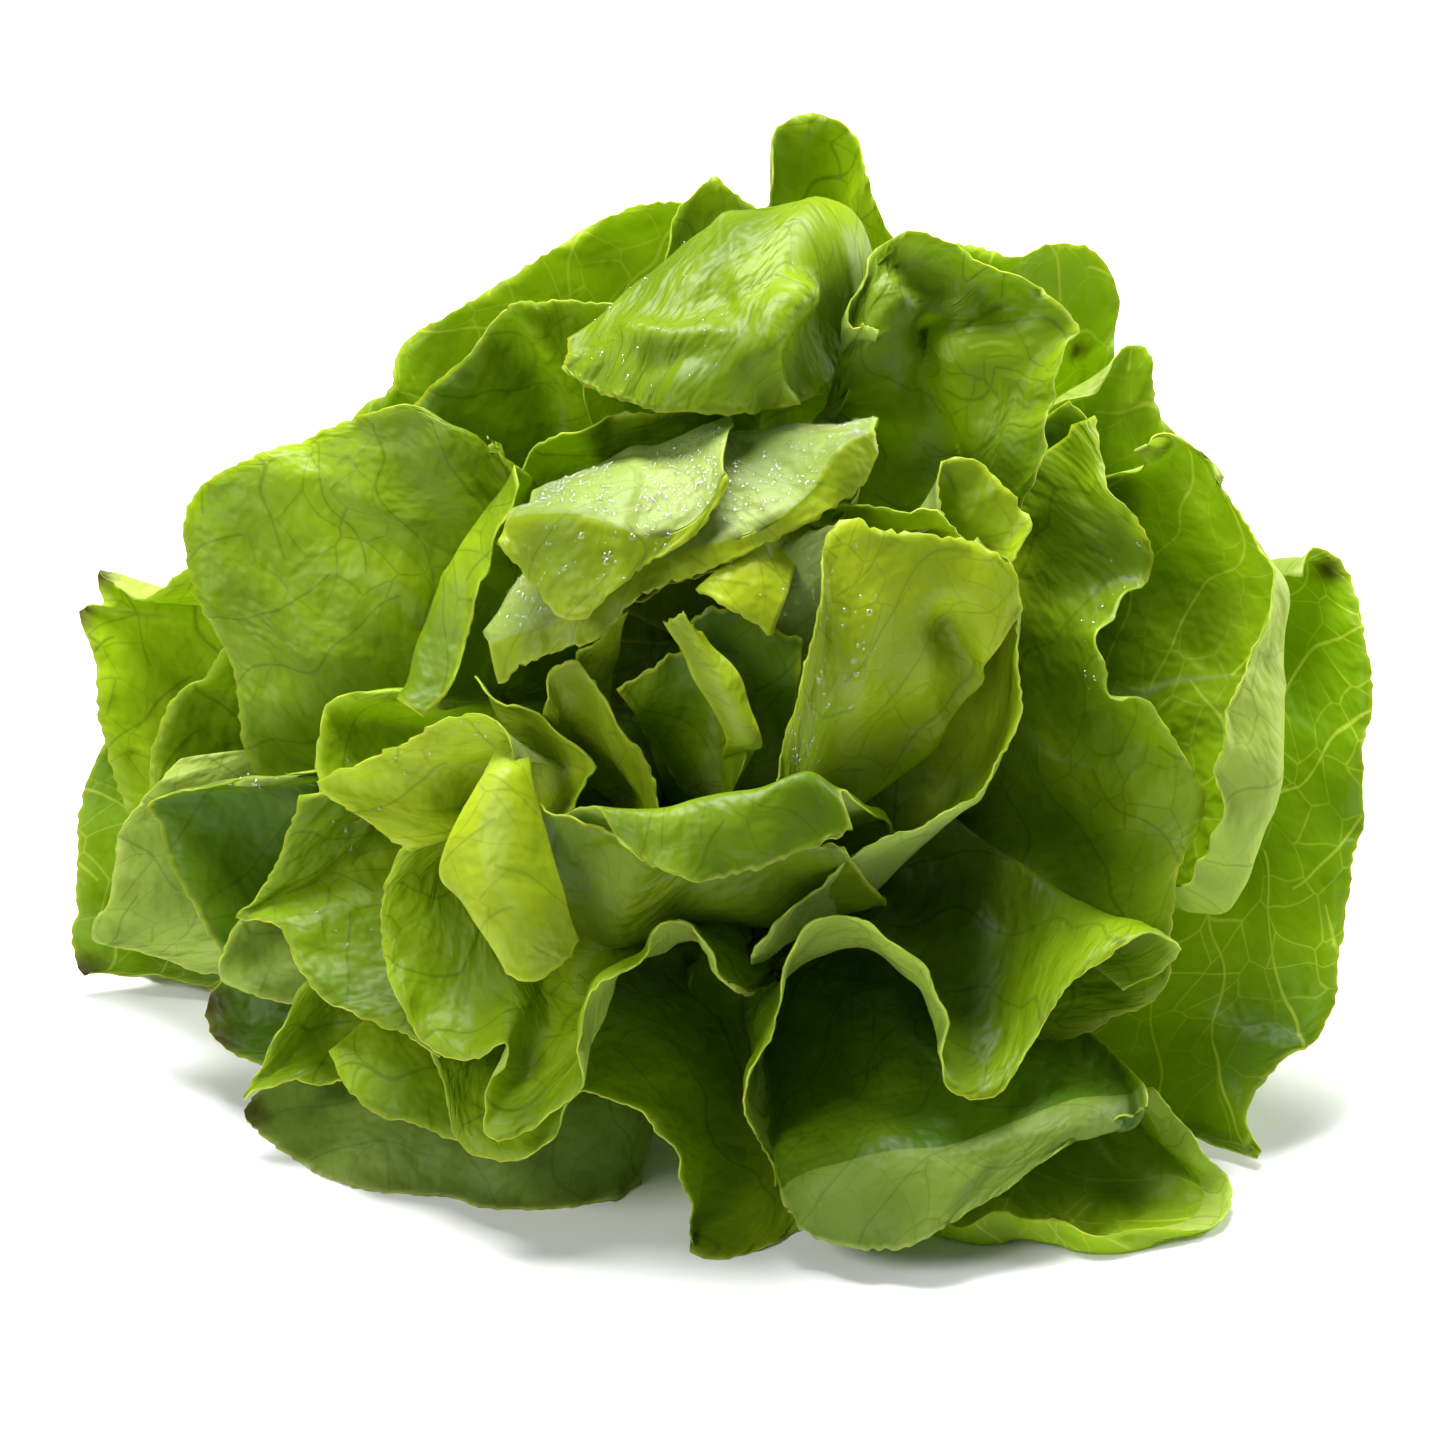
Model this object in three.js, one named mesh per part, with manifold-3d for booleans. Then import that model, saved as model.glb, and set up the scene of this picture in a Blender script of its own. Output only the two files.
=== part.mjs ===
// A butterhead lettuce, as picked: a short cut stem, a dense folded heart, and loose waved leaves round it.
// It lies tipped back on its lower leaves, with the heart towards the front (-Y).
// Units are millimetres and +Z is up. The origin is the middle of its footprint on the surface under it.
import * as THREE from "three";
import Module from "manifold-3d";
import { mergeVertices } from "three/addons/utils/BufferGeometryUtils.js";

const wasm = await Module();
wasm.setup();

// Driving dimensions

const HEAD_LEAN = 30; // the head's axis rises this many degrees above the surface
const HEAD_PLACE = [3.3, 18.8, 72]; // the point on the axis where the heart sits on the stem
const BLADE = 0.8; // leaf thickness
const LAYER = 1.3; // from a leaf that lies on the surface to the next one on it
const STEM = { low: -42, top: 10, radius: 12, neck: 9 };
const ROOT = { low: -36, step: 1.22, gap: 1.1 }; // leaf bases: the lowest, the climb to the next, gap to stem
const CLEAR = { gap: 0.35, step: 0.8, reach: 18, passes: 120 }; // how leaves are bent clear of one another
const CALM = [0.3, 0.18]; // the share of the edge that the blade's inner and outer middle even out
const RIB = { height: 1.1, reach: 0.8, share: 0.13 }; // the midrib under a leaf: its swell, reach and width
const BLISTER = { height: 1.1, size: 8.5 }; // the puckers between veins
const HEART_GAP = 0.3; // between the heart and the stem
const COLUMN_SPACING = { leaf: 10.3, heart: 12 }; // along a leaf's edge
const ROWS = { blade: 6, heart: 4, flap: 2 }; // steps up to the first row of points, and from row to row

const lean = THREE.MathUtils.degToRad(HEAD_LEAN);
const upInHead = new THREE.Vector3(0, Math.cos(lean), Math.sin(lean)); // the world's +Z in the head's frame

// The leaves, from the outermost to the innermost.
// Points are [across, up, out] in the head's frame: out is along the axis, from the stem to the heart's face.
// An edge runs anticlockwise as the heart's face is looked at.
// A fold is a row of points that the blade bends over on its way to the edge.
// azimuth and clasp say where on the stem the leaf grows and how far round it holds, in degrees.
// belly hollows the blade, near the stem and near the edge.
// rest counts the leaves between this one and the surface.

const LEAVES = [
  { name: "leaf_back_left", azimuth: 215, clasp: 110, belly: [6, 8], rest: 0,
    folds: [[[-78, 17, -31], [-94, -2, -39], [-100, -20, -47], [-92, -54, -54], [-82, -58, -47],
      [-66, -61, -42], [-48, -62, -40]]],
    edge: [[-92, 20, -30], [-110, 0, -38], [-117, -20, -46], [-112, -58, -47], [-98, -65, -35],
      [-78, -69, -28], [-56, -70, -26]] },
  { name: "leaf_back_right", azimuth: -35, clasp: 110, belly: [6, 8], rest: 0,
    folds: [[[46, -62, -40], [64, -61, -42], [80, -58, -47], [90, -54, -54], [98, -20, -46],
      [92, -2, -38], [78, 16, -30]]],
    edge: [[52, -70, -26], [76, -69, -28], [96, -65, -35], [110, -58, -47], [115, -20, -44],
      [108, 0, -36], [92, 20, -28]] },
  { name: "leaf_back_top", azimuth: 95, clasp: 110, belly: [8, 10],
    edge: [[60, 62, -26], [42, 82, -24], [16, 90, -22], [-12, 88, -22], [-40, 76, -24], [-60, 58, -26]] },
  { name: "leaf_left_floor", azimuth: 220, clasp: 90, belly: [10, 10], rest: 1,
    edge: [[-119, -38, -44], [-122, -50, -46], [-117, -56, -44], [-107, -58, -42], [-96, -60, -38],
      [-84, -64, -32]] },
  { name: "leaf_left_low", azimuth: 195, clasp: 90, belly: [10, 8],
    edge: [[-118, 4, -22], [-126, -6, -24], [-131, -18, -26], [-132, -30, -30], [-133, -42, -34],
      [-134, -52, -39], [-130, -57, -42], [-118, -58, -40], [-102, -59, -36]] },
  { name: "leaf_top_left_back", azimuth: 120, clasp: 90, belly: [6, 6],
    edge: [[-2, 98, 2], [-16, 99, 0], [-26, 96, -2], [-38, 89, -3], [-48, 82, -3], [-58, 76, -3],
      [-66, 70, -4], [-69, 62, -4], [-74, 58, -4], [-82, 46, -4]] },
  { name: "leaf_top_back", azimuth: 80, clasp: 80, belly: [6, 6],
    edge: [[36, 88, 2], [31, 95, 2], [27, 106, 4], [22, 115, 2], [15, 117, 4], [10, 113, 6], [9, 104, 8],
      [7, 98, 6], [1, 102, 4], [-4, 105, 4], [-9, 98, 6], [-13, 88, 8]] },
  { name: "leaf_right_outer", azimuth: -15, clasp: 100, belly: [14, 10],
    edge: [[84, -88, 8], [97, -92, 14], [104, -93, 18], [102, -82, 18], [107, -75, 16], [116, -68, 14],
      [120, -58, 14], [122, -44, 16], [124, -26, 18], [126, -10, 20], [127, 3, 20], [125, 16, 18],
      [121, 26, 16], [116, 29, 16], [112, 25, 20]] },
  { name: "leaf_top_right_pale", azimuth: 50, clasp: 90, belly: [8, 6],
    edge: [[66, 44, 12], [71, 58, 11], [74, 70, 10], [76, 81, 8], [72, 89, 8], [64, 90, 9], [57, 88, 10],
      [50, 90, 9], [42, 90, 8], [34, 90, 8]] },
  { name: "leaf_right_back", azimuth: 20, clasp: 80, belly: [8, 6],
    edge: [[110, 14, 2], [105, 32, 0], [98, 44, -2], [93, 50, -2], [87, 56, 0], [78, 62, 2]] },
  { name: "leaf_left_second", azimuth: 178, clasp: 90, belly: [8, 8],
    edge: [[-96, 34, -2], [-110, 26, -6], [-120, 20, -9], [-127, 26, -13], [-126, 19, -11],
      [-131, 18, -12], [-128, 8, -11], [-127, -4, -11], [-124, -14, -12], [-120, -25, -14],
      [-108, -36, -15]] },
  { name: "leaf_left_third", azimuth: 190, clasp: 80, belly: [6, 6],
    edge: [[-92, 18, 4], [-102, 9, 0], [-105, 4, -2], [-110, 1, -3], [-114, -5, -4], [-116, -13, -5],
      [-115, -22, -6], [-104, -32, -6]] },
  { name: "leaf_front_left_floor", azimuth: 240, clasp: 90, belly: [-4, -14], rest: 0,
    edge: [[-96, -80, -2], [-97, -86, 3], [-86, -93, 15], [-72, -98, 24], [-56, -100, 27],
      [-46, -102, 31], [-28, -101, 29], [-18, -96, 23]] },
  { name: "leaf_front_right_floor", azimuth: -60, clasp: 90, belly: [12, 12], rest: 0,
    folds: [[[32, -100, 29], [42, -105, 36], [54, -106, 38], [68, -107, 40], [80, -106, 38],
      [91, -103, 33], [93, -96, 26], [86, -88, 22], [76, -76, 20]]],
    edge: [[35, -99, 38], [44, -102, 43], [54, -101, 45], [68, -104, 47], [80, -103, 45], [95, -104, 39],
      [99, -97, 32], [93, -89, 28], [83, -77, 26]] },
  { name: "leaf_left_pale", azimuth: 200, clasp: 70, belly: [2, -4],
    edge: [[-110, -12, 2], [-117, -20, 4], [-122, -28, 2], [-124, -38, -2], [-128, -48, -8],
      [-116, -51, -4], [-106, -54, 0], [-99, -53, 4]] },
  { name: "leaf_right_tip", azimuth: 38, clasp: 70, belly: [8, 6],
    edge: [[86, 36, 8], [88, 50, 7], [86, 62, 6], [85, 70, 6], [82, 72, 6], [79, 70, 7], [74, 63, 9],
      [68, 60, 11], [60, 56, 13]] },
  { name: "leaf_right_second", azimuth: 8, clasp: 90, belly: [14, 10],
    folds: [[[83, -37, 20], [91, -41, 23], [98, -41, 27], [103, -30, 30], [106, -12, 31], [108, 8, 29],
      [109, 21, 27], [104, 29, 24], [97, 36, 22], [92, 45, 19], [86, 49, 17], [80, 46, 18]]],
    edge: [[82, -34, 27], [90, -36, 34], [95, -27, 40], [95, -14, 43], [98, -2, 43], [103, 9, 40],
      [107, 22, 36], [105, 32, 30], [99, 39, 26], [93, 49, 22], [86, 53, 20], [79, 50, 21]] },
  { name: "leaf_top_left_dark", azimuth: 118, clasp: 80, belly: [10, 4],
    edge: [[-12, 76, 20], [-26, 79, 17], [-37, 79, 18], [-43, 78, 22], [-48, 73, 14], [-56, 66, 6],
      [-63, 59, 5], [-66, 50, 8]] },
  { name: "leaf_left_main", azimuth: 168, clasp: 90, belly: [-4, -14],
    edge: [[-47, 51, 24], [-58, 59, 19], [-72, 57, 14], [-86, 52, 10], [-104, 44, 6], [-109, 36, 5],
      [-107, 22, 7], [-101, 9, 9], [-98, 0, 10], [-95, -9, 11], [-88, -17, 13], [-76, -22, 15]] },
  { name: "leaf_left_cone", azimuth: 205, clasp: 70, belly: [4, 2],
    edge: [[-78, -14, 17], [-92, -16, 14], [-104, -18, 11], [-116, -20, 8], [-114, -25, 8],
      [-111, -34, 8], [-106, -43, 9], [-100, -52, 10]] },
  { name: "leaf_left_browned", azimuth: 222, clasp: 60, belly: [4, 2],
    edge: [[-90, -50, 2], [-101, -56, -2], [-105, -61, -4], [-104, -67, -4], [-100, -72, -3],
      [-93, -75, 0], [-85, -77, 3]] },
  { name: "leaf_left_tuck", azimuth: 215, clasp: 60, belly: [4, 2],
    edge: [[-96, -42, 14], [-100, -47, 13], [-102, -54, 12], [-98, -58, 13], [-92, -59, 15],
      [-84, -60, 17]] },
  { name: "leaf_torn_flap", azimuth: 225, clasp: 60, belly: [2, -2],
    edge: [[-84, -56, 22], [-89, -66, 20], [-96, -79, 18], [-86, -76, 24], [-77, -74, 28], [-67, -71, 30],
      [-64, -66, 30]] },
  { name: "leaf_front_left_third", azimuth: 235, clasp: 60, belly: [4, 2],
    edge: [[-80, -70, 24], [-76, -78, 28], [-69, -82, 32], [-60, -84, 35], [-52, -87, 37], [-42, -90, 39]]
      },
  { name: "leaf_front_outer", azimuth: 252, clasp: 80, belly: [14, 8], rest: 0,
    edge: [[-68, -60, 22], [-63, -67, 28], [-57, -76, 34], [-54, -86, 38], [-47, -90, 42], [-40, -89, 46],
      [-34, -82, 50], [-28, -76, 52], [-20, -77, 52], [-13, -84, 49], [-9, -95, 43], [-7, -103, 41],
      [-8, -108, 44], [-2, -110, 46], [8, -107, 42], [15, -102, 36]] },
  { name: "leaf_front_lip", azimuth: -62, clasp: 80, belly: [14, 10],
    folds: [[[10, -96, 46], [14, -93, 50], [24, -90, 54], [40, -87, 54], [52, -82, 52], [63, -79, 48],
      [74, -77, 42], [80, -75, 36]]],
    edge: [[11, -100, 48], [16, -105, 53], [25, -107, 56], [36, -106, 57], [47, -99, 57], [58, -92, 55],
      [68, -86, 49], [80, -82, 40]] },
  { name: "leaf_left_curl", azimuth: 212, clasp: 60, belly: [4, 2],
    edge: [[-85, -19, 24], [-88, -28, 22], [-92, -37, 20], [-98, -43, 17], [-89, -46, 23], [-86, -52, 26],
      [-82, -57, 29], [-75, -61, 32], [-65, -64, 36], [-57, -70, 40]] },
  { name: "leaf_right_dark", azimuth: 42, clasp: 60, belly: [12, 4],
    edge: [[64, 12, 30], [67, 27, 26], [70, 40, 24], [71, 47, 23], [70, 53, 23], [66, 58, 24]] },
  { name: "leaf_right_ruffle", azimuth: 0, clasp: 100, belly: [14, 8],
    edge: [[57, -67, 16], [67, -70, 18], [77, -64, 21], [85, -58, 25], [87, -46, 29], [88, -34, 32],
      [92, -20, 36], [88, -9, 39], [82, -2, 41], [74, 1, 43], [72, 7, 44], [73, 13, 42], [77, 19, 36],
      [83, 25, 30], [83, 31, 30], [78, 38, 31], [75, 42, 31], [74, 49, 27], [73, 57, 22]] },
  { name: "leaf_top_hood", azimuth: 97, clasp: 100, belly: [8, 2],
    folds: [[[28, 80, 30], [27, 90, 28], [22, 96, 26], [12, 97, 26], [2, 96, 28], [-7, 91, 31],
      [-16, 83, 35], [-24, 76, 39], [-31, 69, 43]], [[28, 71, 36], [23, 75, 42], [14, 78, 46],
      [4, 77, 50], [-3, 74, 52], [-10, 73, 53], [-18, 71, 52], [-25, 69, 50], [-32, 67, 47]]],
    edge: [[26, 61, 40], [22, 57, 46], [14, 55, 51], [6, 55, 54], [-2, 55, 56], [-10, 55, 57],
      [-18, 57, 55], [-26, 60, 53], [-33, 65, 49]] },
  { name: "leaf_top_right_fold", azimuth: 56, clasp: 84, belly: [8, -4],
    edge: [[56, 34, 42], [60, 50, 40], [62, 60, 38], [66, 69, 36], [68, 74, 34], [62, 80, 34],
      [52, 84, 36], [44, 89, 36], [34, 92, 38], [28, 90, 40], [28, 80, 44], [28, 68, 47]] },
  { name: "leaf_front_right_ruffle", azimuth: -52, clasp: 130, belly: [18, 12],
    edge: [[10, -97, 30], [7, -90, 37], [4, -82, 47], [3, -76, 53], [5, -68, 59], [8, -58, 63],
      [11, -48, 65], [15, -42, 65], [20, -40, 63], [26, -42, 61], [32, -47, 59], [38, -53, 57],
      [42, -60, 55], [42, -66, 55], [41, -71, 56], [44, -76, 56], [50, -78, 54], [55, -75, 52],
      [58, -69, 50], [62, -62, 49], [68, -55, 48], [75, -50, 47], [82, -47, 44], [88, -49, 39],
      [85, -55, 34], [78, -58, 32]] },
  { name: "leaf_front_inner", azimuth: 235, clasp: 130, belly: [16, 4],
    edge: [[-51, -23, 44], [-62, -28, 40], [-66, -36, 38], [-68, -46, 38], [-67, -55, 40], [-63, -63, 43],
      [-56, -69, 47], [-50, -68, 50], [-45, -66, 53], [-43, -68, 54], [-46, -74, 53], [-48, -80, 52],
      [-48, -85, 52], [-44, -86, 54], [-37, -81, 56], [-32, -77, 58], [-28, -70, 60], [-29, -62, 61],
      [-26, -55, 62], [-18, -50, 63], [-16, -44, 63], [-12, -40, 63], [-6, -40, 63], [-3, -45, 63],
      [-2, -50, 63], [3, -53, 62], [9, -51, 60]] },
  { name: "leaf_left_tip", azimuth: 188, clasp: 84, belly: [3, 1],
    edge: [[-54, -2, 44], [-61, 1, 46], [-68, 1, 43], [-75, 0, 43], [-80, -9, 40], [-81, -18, 40]] },
  { name: "leaf_top_inner", azimuth: 110, clasp: 70, belly: [12, 8],
    edge: [[6, 57, 36], [-8, 56, 37], [-20, 54, 38], [-28, 51, 39], [-34, 48, 39], [-38, 40, 37]] },
  { name: "leaf_left_roll", azimuth: 155, clasp: 70, belly: [12, 6],
    folds: [[[-40, 44, 40], [-48, 35, 40], [-57, 23, 39], [-64, 9, 38], [-66, 0, 37]]],
    edge: [[-41, 41, 47], [-46, 29, 48], [-51, 16, 47], [-56, 4, 46], [-61, -4, 44]] },
];

// The heart: smooth cores, hidden among leaves that each grow from a point inside it, as wide there as base.
// crease is the row, counted from the root, that a leaf is folded sharply along.
const HEART_CORES = [
  { middle: [6, -5, 28], radii: [28, 28, 25] },
  { middle: [-26, -14, 28], radii: [18, 13, 15] },
];

const HEART_LEAVES = [
  { name: "right_cup", root: [14, -6, 8], base: 24, belly: [20, 16],
    edge: [[4, -49, 60], [13, -41, 61], [20, -34, 60], [28, -27, 59], [38, -23, 57], [47, -19, 55],
      [53, -10, 54], [56, -1, 54], [55, 8, 54], [57, 18, 55], [55, 27, 56], [47, 30, 57]] },
  { name: "right_face", root: [24, -22, 36], base: 34, belly: [-4, -7],
    edge: [[57, 17, 56], [54, 27, 58], [46, 31, 60], [37, 32, 62], [29, 33, 64], [22, 35, 66],
      [19, 25, 69], [16, 14, 70], [13, 4, 70], [11, -6, 69], [9, -17, 66]] },
  { name: "back_fold", root: [18, 10, 20], base: 14, belly: [8, 4],
    edge: [[48, 29, 53], [42, 36, 54], [33, 37, 56], [25, 38, 59], [21, 38, 58]] },
  { name: "side_tongue", root: [22, 12, 18], base: 12, belly: [4, -3],
    edge: [[56, 26, 50], [59, 34, 49], [57, 37, 49], [54, 41, 49], [50, 45, 49], [46, 47, 49],
      [42, 46, 49], [41, 35, 51]] },
  { name: "dewy_side", root: [8, -6, 46], base: 12, belly: [2, -2],
    edge: [[24, 35, 62], [16, 33, 61], [9, 29, 60]] },
  { name: "inner_back", root: [4, -18, 44], base: 16, belly: [2, -2],
    edge: [[14, 12, 58], [8, 14, 58], [0, 18, 59], [-6, 17, 59], [-10, 11, 58]] },
  { name: "left_tongue", root: [-27, -10, 40], base: 6, belly: [1, 0],
    edge: [[-20, 18, 61], [-25, 13, 61], [-30, 9, 59]] },
  { name: "hood_under", root: [2, 14, 16], base: 16, belly: [16, 12],
    edge: [[28, 50, 48], [25, 43, 52], [22, 36, 56], [14, 35, 57], [9, 31, 57], [0, 26, 56],
      [-10, 22, 55], [-22, 18, 54]] },
  { name: "hood_right", root: [0, 16, 12], base: 20, belly: [14, 14], crease: 4,
    folds: [[[29, 53, 46], [22, 53, 46], [14, 53, 47], [6, 52, 48], [-6, 50, 48], [-18, 44, 48],
      [-30, 34, 47], [-40, 24, 46], [-47, 13, 45]], [[28, 52, 55], [22, 49, 59], [15, 40, 62],
      [7, 34, 64], [-4, 30, 65], [-17, 26, 64], [-27, 19, 62], [-36, 14, 58], [-46, 10, 52]]],
    edge: [[28, 48, 55], [24, 40, 58], [18, 36, 61], [9, 31, 63], [-4, 25, 65], [-17, 20, 64],
      [-26, 12, 62], [-36, 8, 59], [-45, 3, 54]] },
  { name: "hood_left", root: [-6, 16, 10], base: 20, belly: [16, 14], crease: 4,
    folds: [[[0, 55, 50], [-8, 51, 53], [-17, 47, 54], [-28, 44, 53], [-38, 40, 49]], [[-1, 44, 64],
      [-7, 35, 69], [-17, 32, 71], [-30, 35, 69], [-43, 34, 61]]],
    edge: [[0, 42, 65], [-7, 32, 70], [-18, 25, 72], [-31, 15, 70], [-45, 30, 62]] },
  { name: "yellow_flap", root: [14, 37, 52], base: 5, belly: [-1, -2],
    edge: [[-7, 21, 65], [0, 17, 66], [8, 12, 64]] },
  { name: "left_fold", root: [-40, -16, 36], base: 8, belly: [2, 2],
    edge: [[-36, -26, 55], [-32, -20, 57], [-28, -15, 58], [-27, -12, 58], [-35, -6, 57], [-40, -2, 56],
      [-46, 0, 54], [-50, 5, 51]] },
  { name: "left_yellow", root: [-34, -18, 26], base: 14, belly: [-1, -5],
    edge: [[-42, -12, 58], [-44, -7, 58], [-49, -3, 57], [-56, -5, 54], [-64, -9, 51], [-72, -12, 48],
      [-81, -17, 45], [-72, -23, 45], [-63, -30, 46]] },
  { name: "left_hanging", root: [-42, -8, 52], base: 5, belly: [0, 0],
    folds: [[[-50, -18, 59.5], [-47, -16, 62], [-44, -15, 63], [-41, -15, 62.5], [-38, -16, 60.5]],
      [[-57, -33, 60], [-51, -33, 64], [-45, -33, 66.5], [-39, -32, 66], [-34, -31, 62.5]],
      [[-53, -40, 61], [-48, -43, 65], [-42, -45, 67], [-36, -44, 66.5], [-31, -41, 63]]],
    edge: [[-49, -44, 58], [-45, -50, 61], [-39, -54, 62], [-33, -52, 61], [-29, -47, 59]] },
  { name: "left_panel", root: [-24, -20, 40], base: 8, belly: [2, 0],
    edge: [[-14, -22, 60], [-16, -14, 61], [-19, -9, 62], [-23, -4, 62], [-27, 2, 62], [-31, 8, 62],
      [-34, 5, 60], [-36, -3, 57]] },
  { name: "centre_panel", root: [-7, -20, 44], base: 8, belly: [2, 0],
    edge: [[0, -18, 60], [4, -8, 62], [0, 2, 63], [-6, 7, 63], [-11, 9, 63], [-16, 6, 62], [-22, 2, 60]] },
  { name: "curled_strip", root: [0, -15, 46], base: 4, belly: [0, 0],
    folds: [[[6, -8, 66], [3, -7, 69], [-1, -7, 66]], [[2, 4, 68], [-2, 4, 71], [-6, 3, 67]]],
    edge: [[-4, 14, 67], [-9, 17, 69], [-13, 15, 66]] },
  { name: "front_ball", root: [-2, -14, 10], base: 24, belly: [22, 20],
    edge: [[-36, -20, 60], [-28, -22, 64], [-18, -25, 67], [-8, -26, 69], [4, -27, 69], [14, -29, 67],
      [22, -30, 64]] },
  { name: "front_strap", root: [1, -10, 8], base: 24, belly: [16, 18],
    folds: [[[-27, -20, 68], [-14, -22, 72], [-6, -20, 73], [6, -17, 73], [15, -14, 72], [22, -17, 69]]],
    edge: [[-21, -28, 74], [-14, -33, 76], [-7, -35, 77], [4, -33, 77], [13, -30, 75], [24, -25, 72]] },
];

// Blade surface

// Point on a uniform Catmull-Rom line through points, at t counted in points.
function alongPoints(points, t) {
  const last = points.length - 1;
  const i = Math.min(Math.floor(t), last - 1);
  const f = t - i;
  const before = points[i - 1] ?? points[0].clone().multiplyScalar(2).sub(points[1]);
  const after = points[i + 2] ?? points[last].clone().multiplyScalar(2).sub(points[last - 1]);
  const mix = (axis) => {
    const [a, b, c, d] = [before, points[i], points[i + 1], after].map((point) => point[axis]);
    const curve = 2 * a - 5 * b + 4 * c - d + f * (3 * (b - c) + d - a);
    return b + 0.5 * f * (c - a + f * curve);
  };
  return new THREE.Vector3(mix("x"), mix("y"), mix("z"));
}

// The same, but folded sharply at one of the points.
function alongFolded(points, t, crease) {
  if (crease === undefined) return alongPoints(points, t);
  if (t <= crease) return alongPoints(points.slice(0, crease + 1), t);
  return alongPoints(points.slice(crease), t - crease);
}

const asPoints = (row) => row.map((p) => new THREE.Vector3(...p));

// Steps along an edge, in points, that are evenly spaced on its length.
function evenSteps(points, count) {
  const fine = 8 * (points.length - 1);
  const lengths = [0];
  let last = points[0];
  for (let i = 1; i <= fine; i++) {
    const p = alongPoints(points, (i / fine) * (points.length - 1));
    lengths.push(lengths[i - 1] + p.distanceTo(last));
    last = p;
  }
  const steps = [];
  let i = 0;
  for (let j = 0; j <= count; j++) {
    const want = (lengths[fine] * j) / count;
    while (i < fine - 1 && lengths[i + 1] < want) i++;
    const f = Math.min(1, (want - lengths[i]) / Math.max(1e-6, lengths[i + 1] - lengths[i]));
    steps.push(((i + f) / fine) * (points.length - 1));
  }
  return { steps, length: lengths[fine] };
}

// The mean of a row round a place on it, with the row's ends kept. Waves of an edge die out inwards this way.
function calmPoint(row, step, share) {
  const last = row.length - 1;
  const reach = Math.min(share * last, step, last - step);
  const mean = new THREE.Vector3();
  for (let k = -4; k <= 4; k++) {
    mean.addScaledVector(alongPoints(row, step + (reach * k) / 4), 1 / 9);
  }
  return mean;
}

// Where a loose leaf leaves the stem: an arc round it, higher for each leaf further in.
function stemRoot(leaf, index, side) {
  const turn = THREE.MathUtils.degToRad(leaf.azimuth + leaf.clasp * side);
  const r = STEM.radius + ROOT.gap;
  return new THREE.Vector3(r * Math.cos(turn), r * Math.sin(turn), ROOT.low + ROOT.step * index);
}

// Where a heart leaf starts: a short line across its own direction.
function heartRoot(leaf, edge, side) {
  const root = new THREE.Vector3(...leaf.root);
  const across = edge[edge.length - 1].clone().sub(edge[0]).normalize();
  return root.addScaledVector(across, leaf.base * side);
}

// Rows of points from the stem out to the edge: the middle of the leaf's thickness.
function bladeRows(leaf, index) {
  const rows = [...(leaf.folds ?? []), leaf.edge].map(asPoints);
  const edge = rows[rows.length - 1];
  const { length } = evenSteps(edge, 1);
  const spacing = leaf.root ? COLUMN_SPACING.heart : COLUMN_SPACING.leaf;
  const columns = Math.max(6, Math.round(length / spacing));
  const { steps } = evenSteps(edge, columns);
  const grid = [];
  steps.forEach((step, j) => {
    const side = j / columns - 0.5;
    const root = leaf.root ? heartRoot(leaf, edge, side) : stemRoot(leaf, index, side);
    const targets = rows.map((row) => alongPoints(row, step));
    const middle = [1, 2].map((k) => {
      const chord = calmPoint(rows[0], step, CALM[k - 1]).sub(root);
      const across = Math.hypot(chord.x, chord.y);
      const slope = chord.z / across;
      const hollow = new THREE.Vector3(chord.x * slope, chord.y * slope, -across).normalize();
      return root.clone().addScaledVector(chord, k / 3).addScaledVector(hollow, leaf.belly[k - 1]);
    });
    const line = [root, ...middle, ...targets];
    const plain = leaf.root ? ROWS.heart : ROWS.blade;
    const count = plain + ROWS.flap * (targets.length - 1);
    for (let i = 0; i <= count; i++) {
      const t = i <= plain ? (3 * i) / plain : 3 + (i - plain) / ROWS.flap;
      (grid[i] ??= []).push(alongFolded(line, t, leaf.crease));
    }
  });
  return puckered(grid, index);
}

// Puckers the blade between its veins, more towards the edge.
function puckered(grid, index) {
  const normals = gridNormals(grid);
  return grid.map((row, i) =>
    row.map((p, j) => {
      const across = Math.sin(p.x / BLISTER.size + 1.7 * index);
      const upward = Math.sin(p.y / BLISTER.size + p.z / 11 - index);
      const height = (BLISTER.height * across * upward * i) / (grid.length - 1);
      return p.clone().addScaledVector(normals[i][j], height);
    }));
}

// How far the midrib stands out under the blade.
function ribHeight(i, j, rows, columns) {
  const outwards = Math.sin(Math.PI * Math.min(1, i / (rows - 1) / RIB.reach));
  const wide = Math.max(1.1, RIB.share * columns);
  const sideways = Math.max(0, 1 - Math.abs(j - (columns - 1) / 2) / wide);
  return RIB.height * outwards * sideways;
}

// Lifts a point that would be lower than a height above the surface that the head lies on.
function liftTo(height, p) {
  const sunk = height - HEAD_PLACE[2] - p.dot(upInHead);
  return sunk > 0 ? p.addScaledVector(upInHead, sunk) : p;
}

// Lays a leaf on the surface, or on the leaves under it.
function restOnSurface(grid, leaf) {
  const height = BLADE / 2 + (leaf.rest ?? 2) * LAYER;
  for (const p of grid.flat()) {
    liftTo(height, p);
  }
}

function gridNormals(grid) {
  const last = grid.length - 1;
  return grid.map((row, i) =>
    row.map((p, j) => {
      const out = grid[Math.min(i + 1, last)][j].clone().sub(grid[Math.max(i - 1, 0)][j]);
      const along = row[Math.min(j + 1, row.length - 1)].clone().sub(row[Math.max(j - 1, 0)]);
      return out.cross(along).normalize();
    }));
}

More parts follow.
